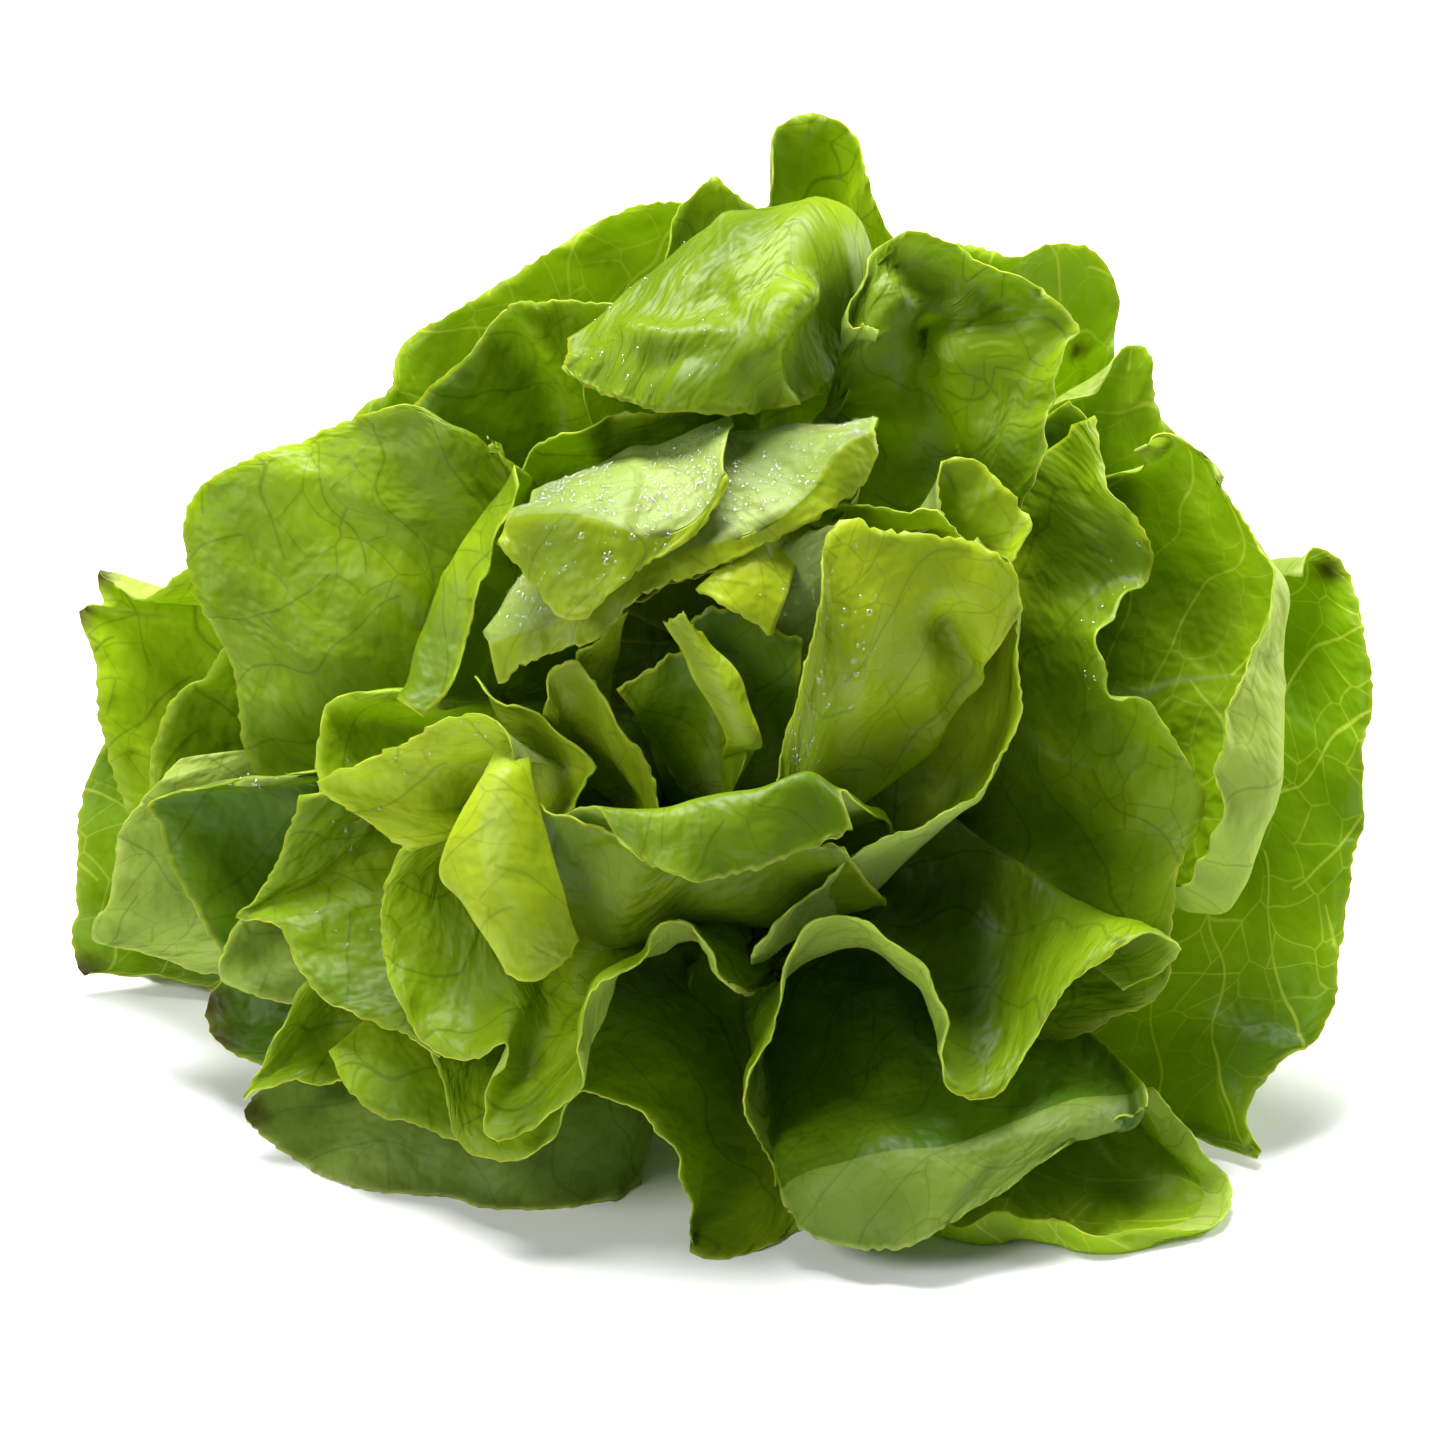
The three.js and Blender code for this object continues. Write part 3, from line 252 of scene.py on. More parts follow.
# %% Heart leaves
HEART_LEAVES = [
    dict(name="right_cup", root=(14, -6, 8), base=24, belly=(20, 16),
         edge=[(4, -49, 60), (13, -41, 61), (20, -34, 60), (28, -27, 59), (38, -23, 57),
               (47, -19, 55), (53, -10, 54), (56, -1, 54), (55, 8, 54), (57, 18, 55),
               (55, 27, 56), (47, 30, 57)]),
    dict(name="right_face", root=(24, -22, 36), base=34, belly=(-4, -7),
         edge=[(57, 17, 56), (54, 27, 58), (46, 31, 60), (37, 32, 62), (29, 33, 64),
               (22, 35, 66), (19, 25, 69), (16, 14, 70), (13, 4, 70), (11, -6, 69),
               (9, -17, 66)]),
    dict(name="back_fold", root=(18, 10, 20), base=14, belly=(8, 4),
         edge=[(48, 29, 53), (42, 36, 54), (33, 37, 56), (25, 38, 59), (21, 38, 58)]),
    dict(name="side_tongue", root=(22, 12, 18), base=12, belly=(4, -3),
         edge=[(56, 26, 50), (59, 34, 49), (57, 37, 49), (54, 41, 49), (50, 45, 49),
               (46, 47, 49), (42, 46, 49), (41, 35, 51)]),
    dict(name="dewy_side", root=(8, -6, 46), base=12, belly=(2, -2),
         edge=[(24, 35, 62), (16, 33, 61), (9, 29, 60)]),
    dict(name="inner_back", root=(4, -18, 44), base=16, belly=(2, -2),
         edge=[(14, 12, 58), (8, 14, 58), (0, 18, 59), (-6, 17, 59), (-10, 11, 58)]),
    dict(name="left_tongue", root=(-27, -10, 40), base=6, belly=(1, 0),
         edge=[(-20, 18, 61), (-25, 13, 61), (-30, 9, 59)]),
    dict(name="hood_under", root=(2, 14, 16), base=16, belly=(16, 12),
         edge=[(28, 50, 48), (25, 43, 52), (22, 36, 56), (14, 35, 57), (9, 31, 57), (0, 26, 56),
               (-10, 22, 55), (-22, 18, 54)]),
    dict(name="hood_right", root=(0, 16, 12), base=20, belly=(14, 14), crease=4,
         folds=[[(29, 53, 46), (22, 53, 46), (14, 53, 47), (6, 52, 48), (-6, 50, 48),
               (-18, 44, 48), (-30, 34, 47), (-40, 24, 46), (-47, 13, 45)], [(28, 52, 55),
               (22, 49, 59), (15, 40, 62), (7, 34, 64), (-4, 30, 65), (-17, 26, 64),
               (-27, 19, 62), (-36, 14, 58), (-46, 10, 52)]],
         edge=[(28, 48, 55), (24, 40, 58), (18, 36, 61), (9, 31, 63), (-4, 25, 65),
               (-17, 20, 64), (-26, 12, 62), (-36, 8, 59), (-45, 3, 54)]),
    dict(name="hood_left", root=(-6, 16, 10), base=20, belly=(16, 14), crease=4,
         folds=[[(0, 55, 50), (-8, 51, 53), (-17, 47, 54), (-28, 44, 53), (-38, 40, 49)],
               [(-1, 44, 64), (-7, 35, 69), (-17, 32, 71), (-30, 35, 69), (-43, 34, 61)]],
         edge=[(0, 42, 65), (-7, 32, 70), (-18, 25, 72), (-31, 15, 70), (-45, 30, 62)]),
    dict(name="yellow_flap", root=(14, 37, 52), base=5, belly=(-1, -2),
         edge=[(-7, 21, 65), (0, 17, 66), (8, 12, 64)]),
    dict(name="left_fold", root=(-40, -16, 36), base=8, belly=(2, 2),
         edge=[(-36, -26, 55), (-32, -20, 57), (-28, -15, 58), (-27, -12, 58), (-35, -6, 57),
               (-40, -2, 56), (-46, 0, 54), (-50, 5, 51)]),
    dict(name="left_yellow", root=(-34, -18, 26), base=14, belly=(-1, -5),
         edge=[(-42, -12, 58), (-44, -7, 58), (-49, -3, 57), (-56, -5, 54), (-64, -9, 51),
               (-72, -12, 48), (-81, -17, 45), (-72, -23, 45), (-63, -30, 46)]),
    dict(name="left_hanging", root=(-42, -8, 52), base=5, belly=(0, 0),
         folds=[[(-50, -18, 59.5), (-47, -16, 62), (-44, -15, 63), (-41, -15, 62.5),
               (-38, -16, 60.5)], [(-57, -33, 60), (-51, -33, 64), (-45, -33, 66.5),
               (-39, -32, 66), (-34, -31, 62.5)], [(-53, -40, 61), (-48, -43, 65),
               (-42, -45, 67), (-36, -44, 66.5), (-31, -41, 63)]],
         edge=[(-49, -44, 58), (-45, -50, 61), (-39, -54, 62), (-33, -52, 61), (-29, -47, 59)]),
    dict(name="left_panel", root=(-24, -20, 40), base=8, belly=(2, 0),
         edge=[(-14, -22, 60), (-16, -14, 61), (-19, -9, 62), (-23, -4, 62), (-27, 2, 62),
               (-31, 8, 62), (-34, 5, 60), (-36, -3, 57)]),
    dict(name="centre_panel", root=(-7, -20, 44), base=8, belly=(2, 0),
         edge=[(0, -18, 60), (4, -8, 62), (0, 2, 63), (-6, 7, 63), (-11, 9, 63), (-16, 6, 62),
               (-22, 2, 60)]),
    dict(name="curled_strip", root=(0, -15, 46), base=4, belly=(0, 0),
         folds=[[(6, -8, 66), (3, -7, 69), (-1, -7, 66)], [(2, 4, 68), (-2, 4, 71),
               (-6, 3, 67)]],
         edge=[(-4, 14, 67), (-9, 17, 69), (-13, 15, 66)]),
    dict(name="front_ball", root=(-2, -14, 10), base=24, belly=(22, 20),
         edge=[(-36, -20, 60), (-28, -22, 64), (-18, -25, 67), (-8, -26, 69), (4, -27, 69),
               (14, -29, 67), (22, -30, 64)]),
    dict(name="front_strap", root=(1, -10, 8), base=24, belly=(16, 18),
         folds=[[(-27, -20, 68), (-14, -22, 72), (-6, -20, 73), (6, -17, 73), (15, -14, 72),
               (22, -17, 69)]],
         edge=[(-21, -28, 74), (-14, -33, 76), (-7, -35, 77), (4, -33, 77), (13, -30, 75),
               (24, -25, 72)]),
]
print("heart leaves:", len(HEART_LEAVES))

# %% [markdown]
# ## Lines and edges
# A smooth line through a few points is all that a leaf edge needs. A Catmull-Rom line goes through them,
# so an edge can be read straight off the photograph. Blender has curves, but here the points become rows
# of a grid, so we work the line out with numpy. Steps along an edge are spaced evenly by its length.

# %% Lines through points
def along(points, steps):
    """Points on a smooth line, at steps counted in points."""
    points = np.asarray(points, float)
    line = np.concatenate([[2 * points[0] - points[1]], points, [2 * points[-1] - points[-2]]])
    start = np.minimum(np.floor(steps).astype(int), len(points) - 2)
    part = (steps - start).reshape((-1,) + (1,) * (points.ndim - 1))
    a, b, c, d = (line[start + k] for k in range(4))
    curve = 2 * a - 5 * b + 4 * c - d + part * (3 * (b - c) + d - a)
    return b + 0.5 * part * (c - a + part * curve)


def even_steps(edge, shares):
    """Steps for shares of an edge's length, and that length."""
    fine = np.linspace(0, len(edge) - 1, 8 * (len(edge) - 1) + 1)
    pieces = np.linalg.norm(np.diff(along(edge, fine), axis=0), axis=1)
    lengths = np.concatenate([[0], np.cumsum(pieces)])
    return np.interp(shares * lengths[-1], lengths, fine), lengths[-1]


def calm(row, steps, share):
    """The mean of a row round each step. The waves of an edge die out inwards this way."""
    last = len(row) - 1
    reach = np.minimum(share * last, np.minimum(steps, last - steps))
    return np.mean([along(row, steps + reach * k / 4) for k in range(-4, 5)], axis=0)


print("edge of", LEAVES[0]["name"], "is", round(even_steps(LEAVES[0]["edge"], np.array([1.0]))[1]), "mm long")

# %% [markdown]
# ## A blade
# A real blade starts as an arc round the stem, bellies outwards, and changes its waves up to its edge.
# For each place along the edge we draw one line from the stem through two middle points to the edge.
# All the lines together make a grid of points. Low puckers between the veins lie on top of it.

# %% Blade grid
BLADE = 0.8  # thickness of the solids' blades, mm
LAYER = 1.3  # from a leaf that lies on the floor to the next one on it
STEM_RADIUS = 12
ROOT_LOW, ROOT_STEP, ROOT_GAP = -36, 1.22, 1.1  # leaf bases: the lowest, the climb to the next, gap to stem
CALM = (0.3, 0.18)  # the share of the edge that the inner and outer middle even out
FIRST_ROW = 3  # steps from the stem, through two middle points, to the first row of points
LEAF_SOLID_ROWS, HEART_SOLID_ROWS, FLAP_SOLID_ROWS = 6, 4, 2  # rows of the solids up to there, and per flap
BLISTER_HEIGHT, BLISTER_SIZE, BLISTER_DEPTH = 1.1, 8.5, 11  # the puckers between veins, mm


def unit(vectors):
    return vectors / np.maximum(np.linalg.norm(vectors, axis=-1, keepdims=True), 1e-9)


def blade_root(leaf, index, shares):
    """The line where a leaf starts: an arc round the stem, or a short line inside the heart."""
    side = shares - 0.5
    if "root" in leaf:
        edge = np.array(leaf["edge"], float)
        return np.array(leaf["root"]) + leaf["base"] * side[:, None] * unit(edge[-1] - edge[0])
    turn = np.radians(leaf["azimuth"] + leaf["clasp"] * side)
    reach = STEM_RADIUS + ROOT_GAP
    height = np.full(len(turn), ROOT_LOW + ROOT_STEP * index)
    return np.stack([reach * np.cos(turn), reach * np.sin(turn), height], axis=1)


def blade_lines(leaf, index, shares):
    """Root, two middle points, folds and edge, for each share along the edge."""
    rows = [np.array(row, float) for row in (*leaf.get("folds", ()), leaf["edge"])]
    steps, length = even_steps(rows[-1], shares)
    root = blade_root(leaf, index, shares)
    middle = []
    for k in (1, 2):
        chord = calm(rows[0], steps, CALM[k - 1]) - root
        across = np.hypot(chord[:, 0], chord[:, 1])[:, None]
        hollow = unit(np.hstack([chord[:, :2] / across * chord[:, 2:], -across]))
        middle.append(root + chord * k / 3 + hollow * leaf["belly"][k - 1])
    return np.array([root, *middle, *[along(row, steps) for row in rows]])


def grid_normals(grid):
    """Unit normals of a grid, on the side of the leaf that faces the heart."""
    return unit(np.cross(np.gradient(grid, axis=0), np.gradient(grid, axis=1)))


def blade_grid(leaf, index, steps, shares):
    """The middle of a leaf's thickness: rows from root to edge, columns along the edge."""
    lines = blade_lines(leaf, index, shares)
    grid = along(lines, steps)
    if "crease" in leaf:
        crease = leaf["crease"]
        grid[steps <= crease] = along(lines[:crease + 1], steps[steps <= crease])
        grid[steps > crease] = along(lines[crease:], steps[steps > crease] - crease)
    first_rows = HEART_SOLID_ROWS if "root" in leaf else LEAF_SOLID_ROWS
    place = np.where(steps < FIRST_ROW, steps / FIRST_ROW * first_rows,
                     first_rows + FLAP_SOLID_ROWS * (steps - FIRST_ROW))
    place = place / (first_rows + FLAP_SOLID_ROWS * (len(lines) - 1 - FIRST_ROW))
    swell = np.sin(grid[..., 0] / BLISTER_SIZE + 1.7 * index)
    swell = swell * np.sin(grid[..., 1] / BLISTER_SIZE + grid[..., 2] / BLISTER_DEPTH - index)
    return grid + grid_normals(grid) * (BLISTER_HEIGHT * swell * place[:, None])[..., None]


def lift_off_floor(grid, leaf):
    """Raises what would sink into the floor or into the leaves below."""
    height = BLADE / 2 + leaf.get("rest", 2) * LAYER
    sunk = np.maximum(0, height - HEAD_PLACE[2] - grid @ UP_IN_HEAD)
    return grid + sunk[..., None] * UP_IN_HEAD


print("lines of", LEAVES[0]["name"], blade_lines(LEAVES[0], 0, np.linspace(0, 1, 5)).shape)

# %% [markdown]
# ## How the leaves give way to one another
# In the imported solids, leaves that met were bent clear of one another. Our fine blades must bend like them,
# or they would cut through their neighbours. So we lay a coarse grid on each leaf as the solid had it,
# find the solid's vertex that each grid point became, and keep the difference as a smooth field on the leaf.
# Row by row from the stem, the row before tells where to look. Leaves were only bent inwards or outwards,
# so a step sideways is a wrong match and is taken out.

# %% Bend of each leaf
SOLID_COLUMN = 10.3  # columns of the solids along an edge, mm


def coarse_steps(leaf):
    """Where the solid's rows and columns are."""
    length = even_steps(leaf["edge"], np.array([1.0]))[1]
    columns = max(6, round(length / SOLID_COLUMN))
    flap_rows = FLAP_SOLID_ROWS * len(leaf.get("folds", ()))
    blade = np.arange(LEAF_SOLID_ROWS + 1) * FIRST_ROW / LEAF_SOLID_ROWS
    flap = FIRST_ROW + np.arange(1, flap_rows + 1) / FLAP_SOLID_ROWS
    return np.concatenate([blade, flap]), np.linspace(0, 1, columns + 1)


def leaf_bend(leaf, index):
    """How far each point of the coarse grid was bent, in the head's frame."""
    grid = lift_off_floor(blade_grid(leaf, index, *coarse_steps(leaf)), leaf)
    faces = grid + grid_normals(grid) * BLADE / 2
    solid = solid_points(leaf["name"])
    bend = np.zeros_like(grid)
    for i in range(1, len(grid)):
        guess = faces[i] + bend[i - 1]
        nearest = np.linalg.norm(solid[None] - guess[:, None], axis=2).argmin(axis=1)
        moved = solid[nearest] - faces[i]
        sideways = unit(np.stack([-grid[i, :, 1], grid[i, :, 0], np.zeros(len(moved))], axis=1))
        bend[i] = moved - sideways * np.sum(moved * sideways, axis=1, keepdims=True)
    return bend


def bend_at(bend, leaf, steps, shares):
    """The bend field between the coarse grid's points."""
    rows, columns = coarse_steps(leaf)
    by_row = along(bend, np.interp(steps, rows, np.arange(len(rows))))
    across = along(by_row.swapaxes(0, 1), shares * (len(columns) - 1))
    return across.swapaxes(0, 1)


bends = [leaf_bend(leaf, index) for index, leaf in enumerate(LEAVES)]
print("largest bend, mm:", round(max(np.linalg.norm(bend, axis=2).max() for bend in bends), 1))

# %% [markdown]
# ## Crinkles, ruffles and a ragged margin
# Butterhead blades are blistered between their veins and their thin margins ruffle and fray a little.
# A sum of a few sine waves in random directions gives a smooth, seamless roughness whose size we can choose
# in millimetres. It is measured on the flattened leaf, so it keeps its size where the blade is folded.

# %% Small relief of a blade
BROAD_WAVE = 20  # size of the broad waves, mm
BUMPS = ((0.38, 9), (0.1, 4))  # height and size of the smaller bumps, mm
RUFFLE_HEIGHT, RUFFLE_SIZE, RUFFLE_REACH = 0.9, 6.5, 5  # the ruffle along the margin, mm
CALM_BASE = 40  # relief grows to its full height this far from the stem, mm


def flat_leaf(grid):
    """Each point on the flattened leaf (across, from the root) and its distance from the margin, in mm."""
    across = np.linalg.norm(np.diff(grid, axis=1), axis=2)
    across = np.hstack([np.zeros((len(grid), 1)), np.cumsum(across, axis=1)])
    outward = np.linalg.norm(np.diff(grid, axis=0), axis=2)
    outward = np.vstack([np.zeros((1, grid.shape[1])), np.cumsum(outward, axis=0)])
    flat = np.stack([across - across[:, -1:] / 2, outward], axis=2)
    margin = np.minimum(outward[-1:] - outward, np.minimum(across, across[:, -1:] - across))
    return flat, margin


def roughness(flat, size, seed):
    """Smooth random relief between about -1.7 and 1.7, with bumps of this size in mm."""
    draw = np.random.default_rng(seed)
    total = 0
    for turn, stretch, shift in draw.uniform((0, 0.7, 0), (np.pi, 1.4, 2 * np.pi), (7, 3)):
        wave = flat[..., 0] * np.cos(turn) + flat[..., 1] * np.sin(turn)
        total = total + np.sin(wave * np.pi * stretch / size + shift)
    return total / 3.5


def crinkled(grid, seed, swell, ragged):
    """Adds relief to a blade. swell is the height of its broad waves, ragged of its margin's teeth, in mm."""
    flat, margin = flat_leaf(grid)
    outward = np.clip(flat[..., 1] / CALM_BASE, 0, 1)
    near_edge = np.exp(-margin / RUFFLE_REACH)
    relief = swell * outward * roughness(flat, BROAD_WAVE, seed + 4)
    for k, (height, size) in enumerate(BUMPS):
        relief += height * outward * roughness(flat, size, seed + k)
    relief += RUFFLE_HEIGHT * outward * near_edge * roughness(flat, RUFFLE_SIZE, seed + 2)
    grid = grid + grid_normals(grid) * relief[..., None]
    draw = np.random.default_rng(seed + 3)
    fray = draw.uniform(-ragged, ragged / 2, grid.shape[1])
    curl = draw.uniform(-0.3, 0.3, grid.shape[1]) * ragged
    grid[-1] += unit(grid[-1] - grid[-2]) * fray[:, None] + grid_normals(grid)[-1] * curl[:, None]
    return grid


square = np.stack(np.meshgrid(np.arange(60), np.arange(60)), axis=2)
bumps = roughness(square, 9, 1)
print("bumps of 9 mm run from", round(bumps.min(), 2), "to", round(bumps.max(), 2))

# %% [markdown]
# ## Folds and dents
# Some leaves are dented and gathered where they press on others. Each dent is drawn as a line across it,
# as the heart's face is looked at, and the blade sinks along it. A negative depth raises a ridge.

# %% Dents along lines
CREASES = {  # leaf: lines of (across, up) in mm, half width and depth in mm
    "leaf_top_right_fold": [
        (((40, 72), (40, 62), (41, 52), (42, 42)), 3.5, 7),
        (((41, 72), (47, 72), (54, 74)), 3.0, 5),
        (((30, 88), (38, 84), (48, 80), (56, 77)), 4.0, 4),
        (((33, 80), (38, 75)), 3.0, -3),
        (((32, 66), (33, 58)), 4.0, -2.5),
    ],
    "leaf_top_hood": [
        (((5, 68), (8, 74), (13, 79)), 3.0, 6),
        (((-4, 72), (-12, 71), (-20, 72)), 2.5, 1.8),
        (((-2, 78), (-14, 77)), 3.5, -1.8),
        (((7, 64), (10, 58)), 2.5, 3.5),
        (((-6, 66), (-16, 65)), 3.0, -1.5),
    ],
    "leaf_left_main": [
        (((-50, 30), (-66, 32), (-75, 36), (-80, 42), (-85, 52)), 4.0, 1.6),
        (((-68, 10), (-82, 18), (-96, 29)), 4.0, 1.2),
        (((-56, 50), (-50, 38)), 6.0, -3.0),
        (((-92, 46), (-74, 44)), 6.0, -1.5),
    ],
    "leaf_top_back": [
        (((22, 112), (20, 100), (16, 92)), 3.0, 2),
        (((15, 112), (14, 104)), 3.0, -2),
        (((26, 102), (24, 92)), 3.0, -2),
        (((-2, 102), (-5, 92)), 3.0, -2),
    ],
    "leaf_top_left_dark": [
        (((-44, 70), (-38, 60), (-37, 46)), 4.0, 5),
        (((-52, 62), (-58, 52)), 5.0, -2.5),
    ],
    "right_face": [
        (((50, -18), (47, -8), (46, 4), (43, 14)), 4.0, 6),
        (((23, -19), (33, -12), (42, -5)), 2.5, -3),
        (((28, -24), (38, -15), (44, -12)), 3.0, 3),
        (((28, 24), (24, 4)), 6.0, -2),
    ],
    "front_ball": [  # seen from inside the heart: it swells out at its foot
        (((-34, -33), (-27, -37), (-20, -39)), 9.0, 10),
    ],
}


def creased(grid, lines):
    """Sinks a blade along lines that are given as the heart's face is looked at."""
    sunk = np.zeros(grid.shape[:2])
    for line, width, depth in lines:
        fine = along(line, np.linspace(0, len(line) - 1, 24))
        away = np.linalg.norm(grid[..., None, :2] - fine, axis=3).min(axis=2)
        sunk += depth * np.exp(-((away / width) ** 2))
    return grid - grid_normals(grid) * sunk[..., None]


print("dented leaves:", len(CREASES))

# %% [markdown]
# ## From grid to leaf
# A bmesh grid already has the faces of a blade, so we only move its vertices to our points.
# The Solidify modifier then gives it thickness on its under side. A vertex group makes the midrib thick and
# leaves the blade thin. Solidify also gives the under side and the rim their own materials.
# Two attributes go with the mesh: the flattened leaf as a UV map, and the distance from the margin.

# %% Leaf builder
BLADE_THIN, RIB_THICK = 0.38, 2.6  # thickness of blade and of the midrib at the stem, mm
RIB_WIDE, RIB_NARROW = 5.5, 0.8  # half width of the midrib at the stem and what is left of it at the tip, mm
COLUMN_WIDTH = 1.25  # fine columns along an edge, mm
FLAP_ROWS = 12  # fine rows of each flap
surfaces = {}


def leaf_mesh(name, grid, tone_and_painted_light):
    """A mesh of the blade, with its flattened leaf, its margin, and how deep or bright its green is, painted
    light and shade included.
    """
    rows, columns = grid.shape[:2]
    shape = bmesh.new()
    bmesh.ops.create_grid(shape, x_segments=columns - 1, y_segments=rows - 1, size=1)
    mesh = bpy.data.meshes.new(name)
    shape.to_mesh(mesh)
    shape.free()
    flat, margin = flat_leaf(grid)
    mirrored = slice(None, None, -1)  # so that the faces look towards the heart
    mesh.vertices.foreach_set("co", to_world(grid[:, mirrored]).ravel())
    corners = np.empty(len(mesh.loops), int)
    mesh.loops.foreach_get("vertex_index", corners)
    flat_map = mesh.uv_layers.new(name="flat")
    flat_map.uv.foreach_set("vector", (flat[:, mirrored].reshape(-1, 2)[corners] * MM).ravel())
    reach = flat[..., 1] / flat[-1:, :, 1]
    for label, values in (("margin", margin * MM), ("reach", reach), ("tone_and_painted_light", np.full(margin.shape, tone_and_painted_light))):
        layer = mesh.attributes.new(label, "FLOAT", "POINT")
        layer.data.foreach_set("value", values[:, mirrored].ravel())
    mesh.polygons.foreach_set("use_smooth", np.ones(len(mesh.polygons), bool))
    mesh.update()
    return mesh, flat[:, mirrored]


def leaf_piece(name, grid, tone_and_painted_light, sides, turned_row=None):
    """A leaf with sides (towards the heart, away from it). Past turned_row its flap has them swapped."""
    mesh, flat = leaf_mesh(name, grid, tone_and_painted_light)
    piece = bpy.data.objects.new(name, mesh)
    bpy.context.scene.collection.objects.link(piece)
    for material in (*sides, MARGIN, *sides[::-1], MARGIN):
        mesh.materials.append(material)
    if turned_row is not None:
        rows = np.arange(len(mesh.polygons)) // (grid.shape[1] - 1)
        mesh.polygons.foreach_set("material_index", np.where(rows >= turned_row, 3, 0))
    out = flat[..., 1] / flat[-1:, :, 1]
    rib_width = RIB_WIDE * (1 - out) + RIB_NARROW
    rib = np.exp(-((flat[..., 0] / rib_width) ** 2)) * (1 - out) ** 0.7
    thickness = (BLADE_THIN + (RIB_THICK - BLADE_THIN) * rib) / RIB_THICK
    group = piece.vertex_groups.new(name="thickness")
    for vertex, weight in enumerate(thickness.ravel()):
        group.add([vertex], float(weight), "REPLACE")
    solid = piece.modifiers.new("thickness", "SOLIDIFY")
    solid.thickness = RIB_THICK * MM
    solid.offset = -1
    solid.vertex_group = "thickness"
    solid.material_offset = 1
    solid.material_offset_rim = 2
    return piece


def fine_steps(leaf, rows):
    """Where a fine blade's rows and columns are."""
    length = even_steps(leaf["edge"], np.array([1.0]))[1]
    columns = max(16, round(length / COLUMN_WIDTH))
    flaps = len(leaf.get("folds", ()))
    flap_steps = FIRST_ROW + np.arange(1, FLAP_ROWS * flaps + 1) / FLAP_ROWS
    steps = np.concatenate([np.linspace(0, FIRST_ROW, rows + 1), flap_steps])
    return steps, np.linspace(0, 1, columns + 1)


print("rows and columns of", LEAVES[0]["name"], [len(lines) for lines in fine_steps(LEAVES[0], 30)])

# %% [markdown]
# ## Lettuce blade, upper side
# A leaf is a thin wet sheet: its wax gives a soft gloss, and light that passes through comes out brighter
# and yellower than light that is thrown back. So the material mixes a glossy shader with a translucent one.
# Its veins are drawn on the flattened leaf: a midrib, side veins that leave it in chevrons, and a net.
# The net is a Voronoi pattern, whose cell borders are the veins. It is stronger in some places than others.

# %% Colours and nodes
def colour(hex_code):
    """An sRGB hex colour as Blender's linear RGBA."""
    shares = [int(hex_code[i:i + 2], 16) / 255 for i in (1, 3, 5)]
    linear = [s / 12.92 if s <= 0.04045 else ((s + 0.055) / 1.055) ** 2.4 for s in shares]
    return (*linear, 1)


def add_node(tree, kind, inputs=None, **settings):
    """Adds a shader node, sets its properties, and fills its inputs with values or links."""
    made = tree.nodes.new("ShaderNode" + kind)
    for name, value in settings.items():
        setattr(made, name, value)
    for name, value in (inputs or {}).items():
        if isinstance(value, bpy.types.NodeSocket):
            tree.links.new(value, made.inputs[name])
        else:
            made.inputs[name].default_value = value
    return made


def new_material(name):
    material = bpy.data.materials.new(name)
    material.use_nodes = True
    material.node_tree.nodes.clear()
    return material, material.node_tree


print("the bright green of a young leaf, linear:", np.round(colour("#A2BC14")[:3], 3))

# %% Vein pattern
SIDE_VEINS = 17  # from one side vein to the next, mm
VEIN_SLOPE = 0.75  # how steeply side veins leave the midrib
NET_CELLS = 9  # size of the meshes of the vein net, mm
CLOUDS, DRIFT = 28, 14  # size of the soft clouds, and how far they shift the veins, mm


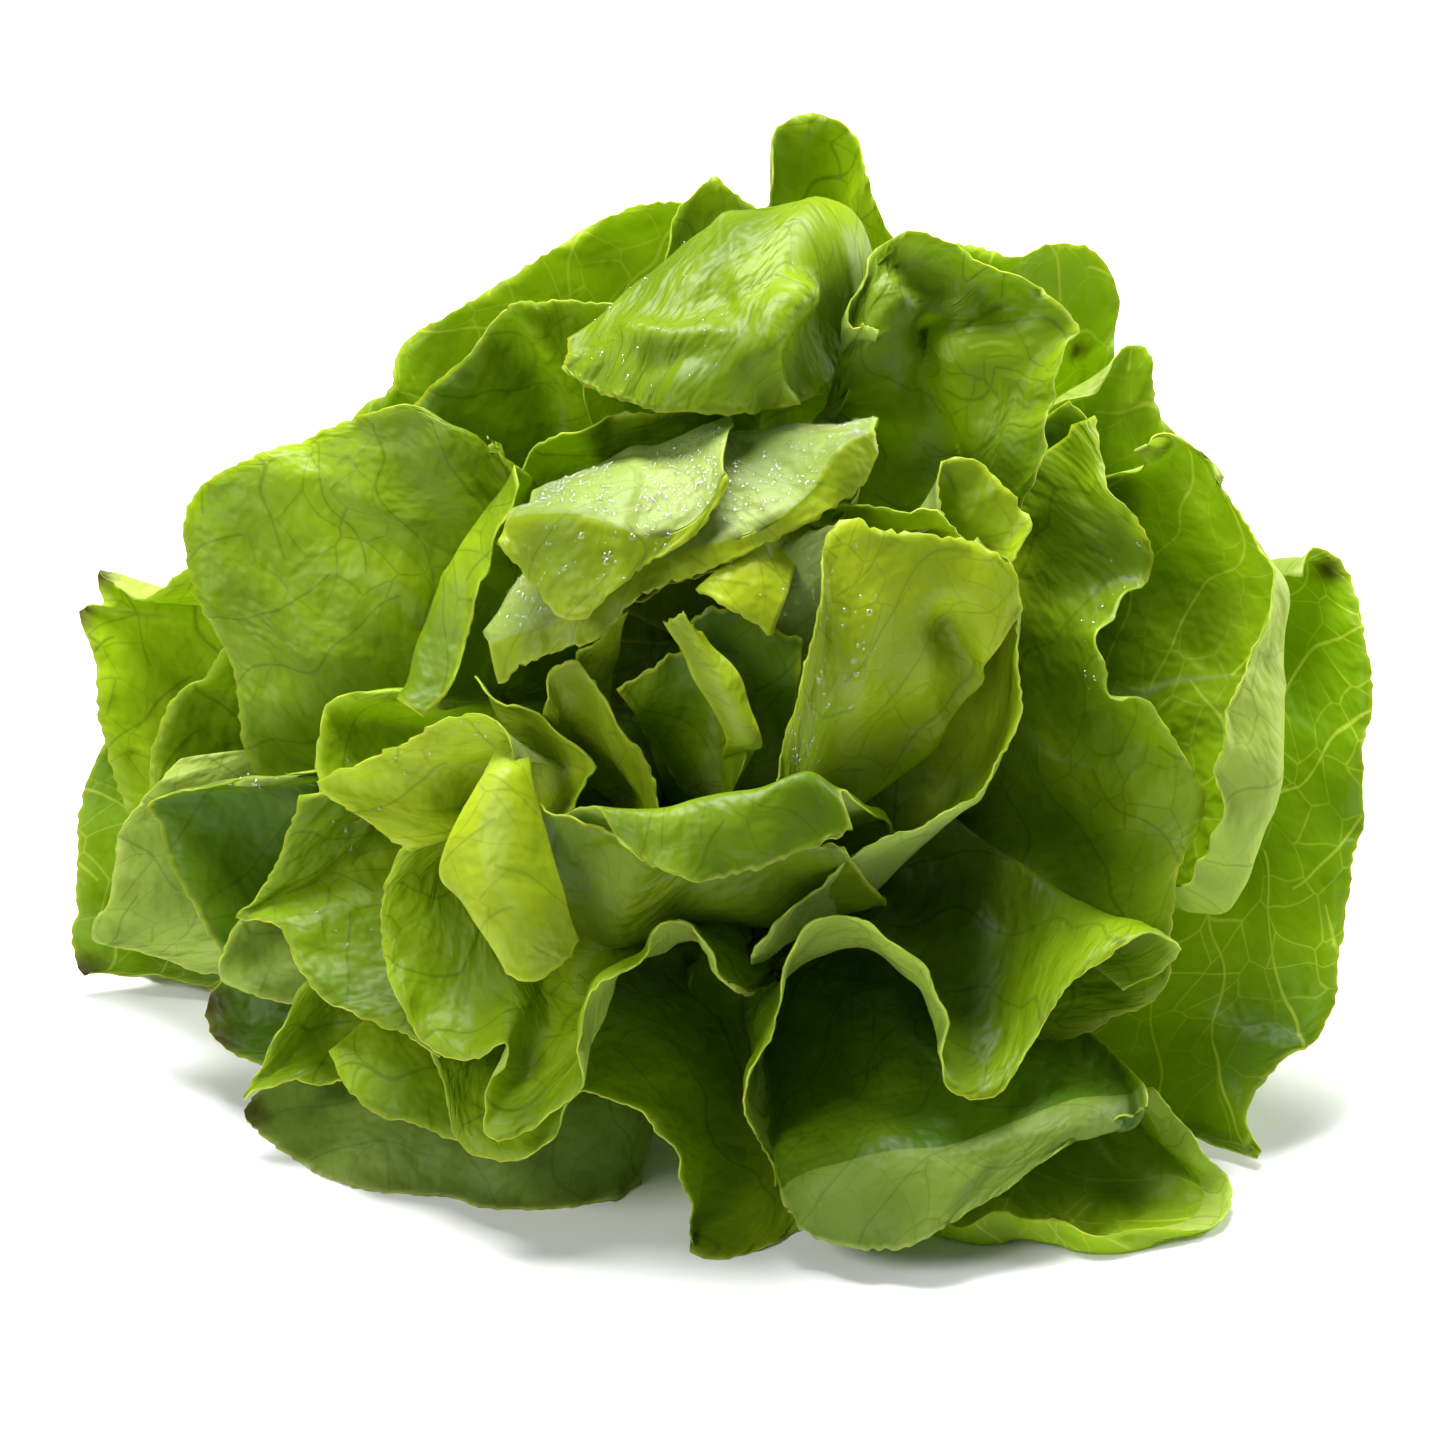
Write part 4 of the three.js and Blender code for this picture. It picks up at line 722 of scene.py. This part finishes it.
def vein_pattern(tree):
    """Sockets on the flattened leaf: the place in mm, soft clouds, the midrib and the other veins."""
    flat = add_node(tree, "UVMap", uv_map="flat").outputs["UV"]
    mm = add_node(tree, "VectorMath", {0: flat, "Scale": 1000}, operation="SCALE").outputs["Vector"]
    clouds = add_node(tree, "TexNoise", {"Vector": mm, "Scale": 1 / CLOUDS, "Detail": 1},
                      noise_dimensions="2D")
    drift = add_node(tree, "VectorMath", {0: clouds.outputs["Color"], 1: (0.5, 0.5, 0.5)},
                     operation="SUBTRACT")
    drift = add_node(tree, "VectorMath", {0: drift.outputs["Vector"], "Scale": DRIFT}, operation="SCALE")
    bent = add_node(tree, "VectorMath", {0: mm, 1: drift.outputs["Vector"]}, operation="ADD")
    bent = bent.outputs["Vector"]
    place = add_node(tree, "SeparateXYZ", {0: bent}).outputs
    side = add_node(tree, "Math", {0: place["X"]}, operation="ABSOLUTE").outputs[0]
    rise = add_node(tree, "Math", {0: side, 1: -VEIN_SLOPE, 2: place["Y"]}, operation="MULTIPLY_ADD")
    rise = rise.outputs[0]
    offset = add_node(tree, "Math", {0: place["X"]}, operation="SIGN").outputs[0]
    rise = add_node(tree, "Math", {0: offset, 1: SIDE_VEINS / 4, 2: rise}, operation="MULTIPLY_ADD")
    gap = add_node(tree, "Math", {0: rise.outputs[0], 1: SIDE_VEINS / 2}, operation="PINGPONG").outputs[0]
    side_vein = add_node(tree, "MapRange", {0: gap, 1: 0.6, 2: 0.15}, interpolation_type="SMOOTHSTEP")
    reach = add_node(tree, "Attribute", attribute_name="reach").outputs["Fac"]
    width = add_node(tree, "MapRange", {0: reach, 1: 0, 2: 0.85, 3: 4.5, 4: -0.2}).outputs[0]
    midrib = add_node(tree, "Math", {0: width, 1: side}, operation="SUBTRACT").outputs[0]
    midrib = add_node(tree, "MapRange", {0: midrib, 1: -0.5, 2: 0.9}, interpolation_type="SMOOTHSTEP")
    net = add_node(tree, "TexVoronoi", {"Vector": bent, "Scale": 1 / NET_CELLS},
                   voronoi_dimensions="2D", feature="DISTANCE_TO_EDGE").outputs["Distance"]
    strength = add_node(tree, "MapRange", {0: clouds.outputs["Fac"], 1: 0.35, 2: 0.65, 3: 0.25, 4: 0.9})
    net_vein = add_node(tree, "MapRange", {0: net, 1: 0.036, 2: 0.008, 4: strength.outputs[0]},
                        interpolation_type="SMOOTHSTEP")
    veins = add_node(tree, "Math", {0: side_vein.outputs[0], 1: net_vein.outputs[0]}, operation="MAXIMUM")
    return mm, clouds.outputs["Fac"], midrib.outputs[0], veins.outputs[0]


print("side veins every", SIDE_VEINS, "mm, net of", NET_CELLS, "mm")

# %% [markdown]
# ## Both sides of a blade
# The upper side is deep green and glossy. The under side is paler and duller, and its veins stand out.
# Both are the same sheet, so one function makes them. It mixes a waxy, glossy shader for what the eye sees by
# reflected light with a translucent one for light that comes through from behind.
# Veins of young leaves are thin lines, a little darker than the blade; on the upper side that darkness is
# painted shade in the sunken veins. Those of old leaves are strong and pale, most of all by light from
# behind.
# An attribute runs from the deep colour of an old leaf to the bright one of a young leaf. On some leaves it
# is set low as painted shade, on others high as painted light.

# %% Leaf materials
THROUGH_SHARE = 0.42  # how much of the light passes through a blade
GRAIN = 7  # size of the fine blisters, mm
BROWN, PALE_RIB = "#4A3512", "#D2DC9C"


def mixed(tree, share, first, second):
    """A colour between two colours, each a hex code or a socket."""
    pair = [colour(tint) if isinstance(tint, str) else tint for tint in (first, second)]
    return add_node(tree, "Mix", {0: share, 6: pair[0], 7: pair[1]}, data_type="RGBA").outputs[2]


def leaf_material(name, deep, bright, vein_tint_and_painted_shade, edge, through, vein_share, rib_share, relief, rough):
    """A leaf side. The shares are how much its veins and its midrib stand out, relief is its grain in mm."""
    material, tree = new_material(name)
    mm, clouds, midrib, veins = vein_pattern(tree)
    # This attribute is each leaf's depth of green, with painted light and painted shade set into it per leaf.
    tone_and_painted_light = add_node(tree, "Attribute", attribute_name="tone_and_painted_light").outputs["Fac"]
    margin = add_node(tree, "Attribute", attribute_name="margin").outputs["Fac"]
    bruise = add_node(tree, "Attribute", attribute_name="bruise").outputs["Fac"]
    clouds = add_node(tree, "MapRange", {0: clouds, 1: 0.3, 2: 0.7, 3: -0.22, 4: 0.22}).outputs[0]
    tone_and_painted_light = add_node(tree, "Math", {0: tone_and_painted_light, 1: clouds}, operation="ADD", use_clamp=True).outputs[0]
    drawn = add_node(tree, "Math", {0: veins, 1: vein_share}, operation="MULTIPLY").outputs[0]
    rib = add_node(tree, "Math", {0: midrib, 1: rib_share}, operation="MULTIPLY").outputs[0]
    rim = add_node(tree, "MapRange", {0: margin, 1: 0.0012, 2: 0.0001, 4: 0.55}).outputs[0]
    plain = mixed(tree, tone_and_painted_light, deep, bright)
    blade = mixed(tree, rib, mixed(tree, drawn, plain, vein_tint_and_painted_shade), PALE_RIB)
    blade = mixed(tree, rim, blade, edge)
    blade = mixed(tree, bruise, blade, BROWN)
    light = mixed(tree, drawn, mixed(tree, 0.6, plain, through), vein_tint_and_painted_shade)
    light = mixed(tree, bruise, light, BROWN)
    grain = add_node(tree, "TexNoise", {"Vector": mm, "Scale": 1 / GRAIN, "Detail": 2, "Roughness": 0.5},
                     noise_dimensions="2D")
    bump = add_node(tree, "Bump", {"Height": grain.outputs["Fac"], "Strength": 1, "Distance": relief * MM})
    bump = bump.outputs[0]
    waxy = add_node(tree, "BsdfPrincipled", {"Base Color": blade, "Roughness": rough, "Normal": bump,
                                             "IOR": 1.37})
    lit = add_node(tree, "BsdfTranslucent", {"Color": light, "Normal": bump})
    both = add_node(tree, "MixShader", {0: THROUGH_SHARE, 1: waxy.outputs[0], 2: lit.outputs[0]})
    add_node(tree, "OutputMaterial", {"Surface": both.outputs[0]})
    return material


def margin_material(name):
    """The thin rim of a blade: juicy and the brightest green of the leaf, dried a little here and there."""
    material, tree = new_material(name)
    flat = add_node(tree, "UVMap", uv_map="flat").outputs["UV"]
    drying = add_node(tree, "TexNoise", {"Vector": flat, "Scale": 1000 / 6, "Detail": 1},
                      noise_dimensions="2D")
    drying = add_node(tree, "MapRange", {0: drying.outputs["Fac"], 1: 0.35, 2: 0.65}).outputs[0]
    edge = mixed(tree, drying, "#8BA61E", "#C2CF46")
    waxy = add_node(tree, "BsdfPrincipled", {"Base Color": edge, "Roughness": 0.5, "IOR": 1.4})
    lit = add_node(tree, "BsdfTranslucent", {"Color": colour("#D2E255")})
    both = add_node(tree, "MixShader", {0: 0.35, 1: waxy.outputs[0], 2: lit.outputs[0]})
    add_node(tree, "OutputMaterial", {"Surface": both.outputs[0]})
    return material


# Upper side: its dark vein colour is painted shade in the sunken veins.
UPPER = leaf_material("Lettuce_blade_upper_side", "#466802", "#A2BC14", "#456206", "#C0CC30", "#C0DE00",
                      0.36, 0.12, 1.3, 0.44)
OLD_UPPER = leaf_material("Lettuce_old_blade_upper_side", "#426802", "#9EBE10", "#D0DE4C", "#C0CC30",
                          "#C0E000", 0.7, 0.4, 1.2, 0.44)
UNDER = leaf_material("Lettuce_blade_under_side", "#76902E", "#BACC58", "#506A22", "#C9D66A", "#C2E406",
                      0.32, 0.85, 1.2, 0.52)
# Heart upper side: its dark vein colour is painted shade in the sunken veins.
HEART_UPPER = leaf_material("Lettuce_heart_upper_side", "#637A08", "#BCD022", "#56700C", "#C8D236", "#CAE400",
                            0.3, 0.1, 1.3, 0.42)
HEART_UNDER = leaf_material("Lettuce_heart_under_side", "#80983E", "#B4C46C", "#6E8438", "#CDDA66", "#C4DC1A",
                            0.3, 0.1, 1.3, 0.48)
MARGIN = margin_material("Lettuce_blade_rim")
print("leaf materials:", [material.name for material in (UPPER, OLD_UPPER, UNDER, HEART_UPPER, HEART_UNDER)])

# %% [markdown]
# ## Growing the loose leaves
# Every loose leaf now becomes a piece of its own and takes the place of its solid.
# Leaves are not alike: old ones behind are deep green, young ones bright. Those that stand in the light are
# also painted brighter, as painted light, and some in shade darker, as painted shade.
# Some turn their paler under side to us, a few only on a flap that is folded over.
# Some tips are browned where they dried or tore. They are marked by places on the leaf, in millimetres.

# %% Tones, painted light and shade, sides and browned places
# Each leaf's depth of green, with painted light and shade: leaf_front_lip and leaf_left_cone are set dark as
# painted shade in their hollows, leaf_front_right_floor bright as painted light on its shaded inside.
TONES_AND_PAINTED_LIGHT = {
    "leaf_top_left_back": 0.75, "leaf_top_back": 0.55, "leaf_right_outer": 0.35, "leaf_top_right_pale": 0.8,
    "leaf_right_back": 0.7, "leaf_left_second": 1.0, "leaf_left_third": 0.75, "leaf_right_tip": 0.85,
    "leaf_right_second": 0.8, "leaf_top_left_dark": 0.35, "leaf_left_main": 0.6, "leaf_left_cone": 0.1,
    "leaf_front_lip": 0.0, "leaf_right_dark": 0.3, "leaf_top_hood": 0.5, "leaf_top_right_fold": 0.45,
    "leaf_left_tip": 0.9, "leaf_left_roll": 0.5, "leaf_front_left_floor": 0.0, "leaf_front_inner": 0.7,
    "leaf_left_browned": 0.1, "leaf_front_right_floor": 1.0,
}
OLD = {
    "leaf_right_outer", "leaf_right_second", "leaf_right_back", "leaf_right_tip", "leaf_top_left_back",
    "leaf_top_right_pale", "leaf_front_right_floor", "leaf_left_low", "leaf_left_floor",
}
UNDER_TO_HEART = {"leaf_front_left_floor", "leaf_left_pale", "leaf_left_tuck", "dewy_side", "front_ball"}
TURNED = {  # leaves whose flap shows the other side, and the row of points where it starts
    "leaf_top_hood": 3, "leaf_left_roll": 3, "leaf_front_lip": 3, "leaf_front_right_floor": 3,
    "hood_right": 4, "hood_left": 4,
}
BRUISES = {
    "leaf_torn_flap": [((-71, -70), 5), ((-65, -68), 4)],
    "leaf_left_browned": [((-105, -61), 4), ((-103, -69), 4)],
    "leaf_left_second": [((-127, 26), 3), ((-131, 18), 3)],
    "leaf_right_outer": [((119, 26), 2.5)],
    "leaf_top_right_pale": [((70, 70), 1.5)],
    "leaf_left_low": [((-132, -56), 4)],
    "leaf_front_left_floor": [((-97, -84), 4)],
}


def add_bruises(piece, grid, places):
    """Stores how browned each vertex is."""
    brown = np.zeros(grid.shape[:2])
    for middle, reach in places:
        away = np.linalg.norm(grid[..., :2] - np.array(middle), axis=2)
        brown = np.maximum(brown, np.clip(1.4 - away / reach, 0, 1) * 0.9)
    layer = piece.data.attributes.new("bruise", "FLOAT", "POINT")
    layer.data.foreach_set("value", brown[:, ::-1].ravel())


def place_piece(piece, node):
    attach(piece, "root")
    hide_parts(node)


def turned_row(leaf, steps):
    """The grid row past which a flap shows its other side, if it does."""
    return np.searchsorted(steps, TURNED[leaf["name"]]) if leaf["name"] in TURNED else None


def blade_sides(leaf, upper, under):
    """The side towards the heart and the one away from it."""
    return (under, upper) if leaf["name"] in UNDER_TO_HEART else (upper, under)


print("old leaves:", len(OLD), "turned flaps:", len(TURNED), "browned leaves:", len(BRUISES))

# %% Loose leaves
LEAF_ROWS = 34
for index, leaf in enumerate(LEAVES):
    steps, shares = fine_steps(leaf, LEAF_ROWS)
    grid = lift_off_floor(blade_grid(leaf, index, steps, shares), leaf)
    grid = grid + bend_at(bends[index], leaf, steps, shares)
    grid = creased(grid, CREASES.get(leaf["name"], ()))
    grid = lift_off_floor(crinkled(grid, 100 + 10 * index, 1.2, 0.5), leaf)
    upper = OLD_UPPER if leaf["name"] in OLD else UPPER
    piece = leaf_piece(leaf["name"] + "_blade", grid, TONES_AND_PAINTED_LIGHT.get(leaf["name"], 0.5),
                       blade_sides(leaf, upper, UNDER), turned_row(leaf, steps))
    add_bruises(piece, grid, BRUISES.get(leaf["name"], ()))
    place_piece(piece, leaf["name"])
    surfaces[leaf["name"]] = grid
print("loose leaves:", len(surfaces))

# %% [markdown]
# ## The heart
# The heart's leaves are packed and folded over one another, and its solid is fused from all of them.
# Here each is a blade of its own again, from the same rows of points, and all of them stand for that solid.
# Smooth cores fill the middle, where more leaves are packed than anyone can see.

# %% Heart leaves
# Each heart leaf's depth of green, with painted shade: front_ball is set dark as painted shade under the
# strap.
HEART_TONES_AND_PAINTED_LIGHT = {
    "hood_left": 0.5, "hood_right": 0.5, "left_yellow": 1.0, "left_hanging": 0.7, "right_face": 0.6,
    "yellow_flap": 0.9, "front_strap": 0.35, "right_cup": 0.5, "left_fold": 0.6, "front_ball": 0.0,
    "inner_back": 0.2, "centre_panel": 0.35, "left_panel": 0.4,
}
# These heart leaves take the loose leaves' deeper green: partly their own colour, partly painted shade deep
# in the heart.
DEEP_GREEN_AND_PAINTED_SHADE = {"front_strap", "inner_back", "centre_panel"}  # as green as the loose leaves
HEART_ROWS = 30
for index, leaf in enumerate(HEART_LEAVES):
    steps, shares = fine_steps(leaf, HEART_ROWS)
    grid = creased(blade_grid(leaf, index, steps, shares), CREASES.get(leaf["name"], ()))
    grid = crinkled(grid, 600 + 10 * index, 0.7, 0.8)
    upper = UPPER if leaf["name"] in DEEP_GREEN_AND_PAINTED_SHADE else HEART_UPPER
    piece = leaf_piece("heart_" + leaf["name"], grid, HEART_TONES_AND_PAINTED_LIGHT.get(leaf["name"], 0.5),
                       blade_sides(leaf, upper, HEART_UNDER), turned_row(leaf, steps))
    add_bruises(piece, grid, ())
    place_piece(piece, "heart")
    surfaces[leaf["name"]] = grid
print("heart leaves:", len(HEART_LEAVES))

# %% Heart cores
HEART_CORES = [((6, -5, 26), (24, 24, 20)), ((-26, -14, 26), (15, 11, 12))]


def core_material():
    """Packed inner leaves, coloured a dull, dark yellow-green as painted shade of the deep heart."""
    material, tree = new_material("Packed_inner_leaves_painted_shade")
    dull = add_node(tree, "BsdfPrincipled", {"Base Color": colour("#5F7F1C"), "Roughness": 0.6, "IOR": 1.42})
    add_node(tree, "OutputMaterial", {"Surface": dull.outputs[0]})
    return material


shape = bmesh.new()
for middle, radii in HEART_CORES:
    ball = bmesh.ops.create_uvsphere(shape, u_segments=32, v_segments=16, radius=1)["verts"]
    bmesh.ops.scale(shape, vec=Vector(radii), verts=ball)
    bmesh.ops.translate(shape, vec=Vector(middle), verts=ball)
for vertex in shape.verts:
    vertex.co = Vector(to_world(np.array(vertex.co)))
for face in shape.faces:
    face.smooth = True
core_mesh = bpy.data.meshes.new("heart_core")
shape.to_mesh(core_mesh)
shape.free()
core_mesh.materials.append(core_material())
core = bpy.data.objects.new("heart_core", core_mesh)
bpy.context.scene.collection.objects.link(core)
place_piece(core, "heart")
print("heart cores:", len(HEART_CORES), "with", len(core_mesh.polygons), "faces")

# %% [markdown]
# ## The cut stem
# All leaves grow from a short, thick stem that was cut off flat. It is turned from a profile with a spin.
# The real cut is pale and milky, a little browned towards the rim, with a ring of darker vessels; here it is
# pale and milky, browned in small patches.

# %% Stem
STEM_PROFILE = [(0, -42), (10.5, -42), (11.5, -41.6), (12, -40.5), (12, 2), (11, 6), (9, 10), (0, 10)]


def stem_material():
    """Fresh cut stem: wet, pale and milky, browned in small patches."""
    material, tree = new_material("Cut_lettuce_stem")
    place = add_node(tree, "TexCoord").outputs["Object"]
    spots = add_node(tree, "TexNoise", {"Vector": place, "Scale": 1000 / 6, "Detail": 4}).outputs["Fac"]
    spots = add_node(tree, "MapRange", {0: spots, 1: 0.45, 2: 0.75}).outputs[0]
    tint = mixed(tree, spots, "#DDE2B4", "#B9A56A")
    wet = add_node(tree, "BsdfPrincipled", {"Base Color": tint, "Roughness": 0.45, "IOR": 1.4})
    add_node(tree, "OutputMaterial", {"Surface": wet.outputs[0]})
    return material


shape = bmesh.new()
profile = [shape.verts.new((radius, 0, height)) for radius, height in STEM_PROFILE]
edges = [shape.edges.new(pair) for pair in zip(profile, profile[1:])]
bmesh.ops.spin(shape, geom=profile + edges, cent=(0, 0, 0), axis=(0, 0, 1), angle=2 * np.pi, steps=48,
               use_merge=True)
bmesh.ops.remove_doubles(shape, verts=shape.verts, dist=0.01)
bmesh.ops.recalc_face_normals(shape, faces=shape.faces)
for vertex in shape.verts:
    vertex.co = Vector(to_world(np.array(vertex.co)))
stem_mesh = bpy.data.meshes.new("stem_turned")
shape.to_mesh(stem_mesh)
shape.free()
stem_mesh.materials.append(stem_material())
stem = bpy.data.objects.new("stem_turned", stem_mesh)
bpy.context.scene.collection.objects.link(stem)
place_piece(stem, "stem")
print("stem faces:", len(stem_mesh.polygons))

# %% [markdown]
# ## Dew
# The heart was sprayed: fine drops stand on its upper leaves, a few of them large.
# A drop is a low dome of water. All of them are joined in one mesh of small balls, flattened on the blade.

# %% Dew drops
DEW = [  # leaf, rows and columns as shares of the blade, count
    ("hood_left", (0.5, 0.77), (0.05, 0.95), 1000), ("hood_right", (0.5, 0.77), (0.02, 0.95), 1000),
    ("hood_left", (0.8, 0.98), (0.3, 0.9), 60), ("right_face", (0.5, 0.97), (0.4, 0.9), 110),
    ("yellow_flap", (0.3, 0.9), (0.1, 0.9), 14), ("dewy_side", (0.6, 0.98), (0.1, 0.9), 60),
    ("leaf_left_cone", (0.9, 0.98), (0.05, 0.5), 30), ("left_yellow", (0.8, 0.98), (0.1, 0.9), 20),
    ("leaf_right_ruffle", (0.9, 0.98), (0.6, 0.9), 30), ("leaf_top_hood", (0.55, 0.95), (0.3, 0.9), 60),
    ("leaf_left_curl", (0.8, 0.97), (0.1, 0.6), 40), ("leaf_left_tip", (0.8, 0.97), (0.2, 0.9), 30),
]


def water_material():
    """Clear water: no colour of its own, and a sharp highlight on each drop."""
    material, tree = new_material("Water")
    clear = add_node(tree, "BsdfTransparent")
    shine = add_node(tree, "BsdfGlossy", {"Roughness": 0.08})
    both = add_node(tree, "MixShader", {0: 0.12, 1: clear.outputs[0], 2: shine.outputs[0]})
    add_node(tree, "OutputMaterial", {"Surface": both.outputs[0]})
    return material


def ball_of_water():
    """Points and faces of a small ball of radius 1."""
    shape = bmesh.new()
    bmesh.ops.create_icosphere(shape, subdivisions=1, radius=1)
    points = np.array([vertex.co for vertex in shape.verts])
    faces = np.array([[vertex.index for vertex in face.verts] for face in shape.faces])
    shape.free()
    return points, faces


SMALL_DROP, LARGE_DROP = 0.3, 1.1  # radii, mm
FLATTENED = 0.4  # how much lower than a ball a drop stands
draw = np.random.default_rng(77)
ball, ball_faces = ball_of_water()
drops = []
for name, rows, columns, count in DEW:
    grid = surfaces[name]
    normals = grid_normals(grid)
    for _ in range(count):
        i = int(draw.uniform(*rows) * (len(grid) - 1))
        j = int(draw.uniform(*columns) * (grid.shape[1] - 1))
        radius = SMALL_DROP + (LARGE_DROP - SMALL_DROP) * draw.random() ** 4
        back = normals[i, j, 2] < 0  # the side that is looked at is the one away from the heart
        out = -normals[i, j] if back else normals[i, j]
        slip = draw.uniform(-0.8, 0.8, 3)
        slip = slip - out * (slip @ out)
        middle = grid[i, j] + slip + out * (BLADE_THIN if back else 0)
        drops.append(middle + radius * (ball - FLATTENED * np.outer(ball @ out, out)))
dew_mesh = bpy.data.meshes.new("dew_drops")
dew_faces = np.concatenate([ball_faces + len(ball) * k for k in range(len(drops))])
dew_mesh.from_pydata(to_world(np.concatenate(drops)).tolist(), [], dew_faces.tolist())
dew_mesh.polygons.foreach_set("use_smooth", np.ones(len(dew_mesh.polygons), bool))
dew_mesh.materials.append(water_material())
dew = bpy.data.objects.new("dew_drops", dew_mesh)
bpy.context.scene.collection.objects.link(dew)
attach(dew, "root")
print("dew drops:", len(drops))

# %% [markdown]
# ## Floor, light and camera
# The head lies on a white table in a bright studio: a large soft light overhead, white all round.
# The floor isn't part of the lettuce, so it is declared as stage.

# %% Floor and light
def floor_material():
    """A matt white table: a clean ground that takes soft shadows."""
    material, tree = new_material("Matt_white_table")
    matt = add_node(tree, "BsdfPrincipled", {"Base Color": colour("#F6F6F6"), "Roughness": 0.9})
    add_node(tree, "OutputMaterial", {"Surface": matt.outputs[0]})
    return material


shape = bmesh.new()
bmesh.ops.create_grid(shape, x_segments=1, y_segments=1, size=4)
floor_mesh = bpy.data.meshes.new("table")
shape.to_mesh(floor_mesh)
shape.free()
floor_mesh.materials.append(floor_material())
floor = bpy.data.objects.new("table", floor_mesh)
bpy.context.scene.collection.objects.link(floor)
floor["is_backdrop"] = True


def soft_light(name, place, aim, size, power):
    lamp = bpy.data.lights.new(name, "AREA")
    lamp.shape = "DISK"
    lamp.size = size
    lamp.energy = power
    holder = bpy.data.objects.new(name, lamp)
    holder.location = place
    holder.rotation_euler = (Vector(aim) - Vector(place)).to_track_quat("-Z", "Y").to_euler()
    bpy.context.scene.collection.objects.link(holder)


soft_light("overhead_softbox", (-0.1, 0.4, 1.25), (0, 0, 0.07), 0.7, 43)
soft_light("left_softbox", (-1.0, -0.7, 0.9), (0, 0, 0.07), 0.6, 12)
soft_light("back_softbox", (1.05, 0.5, 0.4), (0, 0, 0.07), 0.7, 16)
world = bpy.data.worlds.new("white_studio")
world.use_nodes = True
world.node_tree.nodes["Background"].inputs["Color"].default_value = (1, 1, 1, 1)
world.node_tree.nodes["Background"].inputs["Strength"].default_value = 0.13
bpy.context.scene.world = world
bpy.context.scene.view_settings.view_transform = "Standard"
print("lights:", [light.name for light in bpy.data.lights])

# %% [markdown]
# ## Camera
# The photograph looks along the head's axis, 30 degrees down, from far away with a long lens.

# %% Camera
VIEW_DISTANCE = 2.0
FRAME_WIDTH = 0.288  # what the photograph's width spans at the head, in metres
AIM = Vector(to_world(np.array([-2.0, -4.0, 0.0])))
lens = bpy.data.cameras.new("long_lens")
lens.sensor_width = 36
lens.lens = 36 * VIEW_DISTANCE / FRAME_WIDTH
camera = bpy.data.objects.new("camera", lens)
camera.location = AIM + Vector(HEAD_AXES[2]) * VIEW_DISTANCE
camera.rotation_euler = (AIM - camera.location).to_track_quat("-Z", "Y").to_euler()
bpy.context.scene.collection.objects.link(camera)
bpy.context.scene.camera = camera
print("camera at:", [round(x, 3) for x in camera.location], "lens:", round(lens.lens), "mm")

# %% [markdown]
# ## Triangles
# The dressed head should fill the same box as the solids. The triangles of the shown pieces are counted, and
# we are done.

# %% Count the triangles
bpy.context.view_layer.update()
made = bpy.context.evaluated_depsgraph_get()
faces = {o.name: len(o.evaluated_get(made).data.loop_triangles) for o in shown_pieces() if not o.hide_render}
print("triangles:", sum(faces.values()), "largest piece:", max(faces.values()))
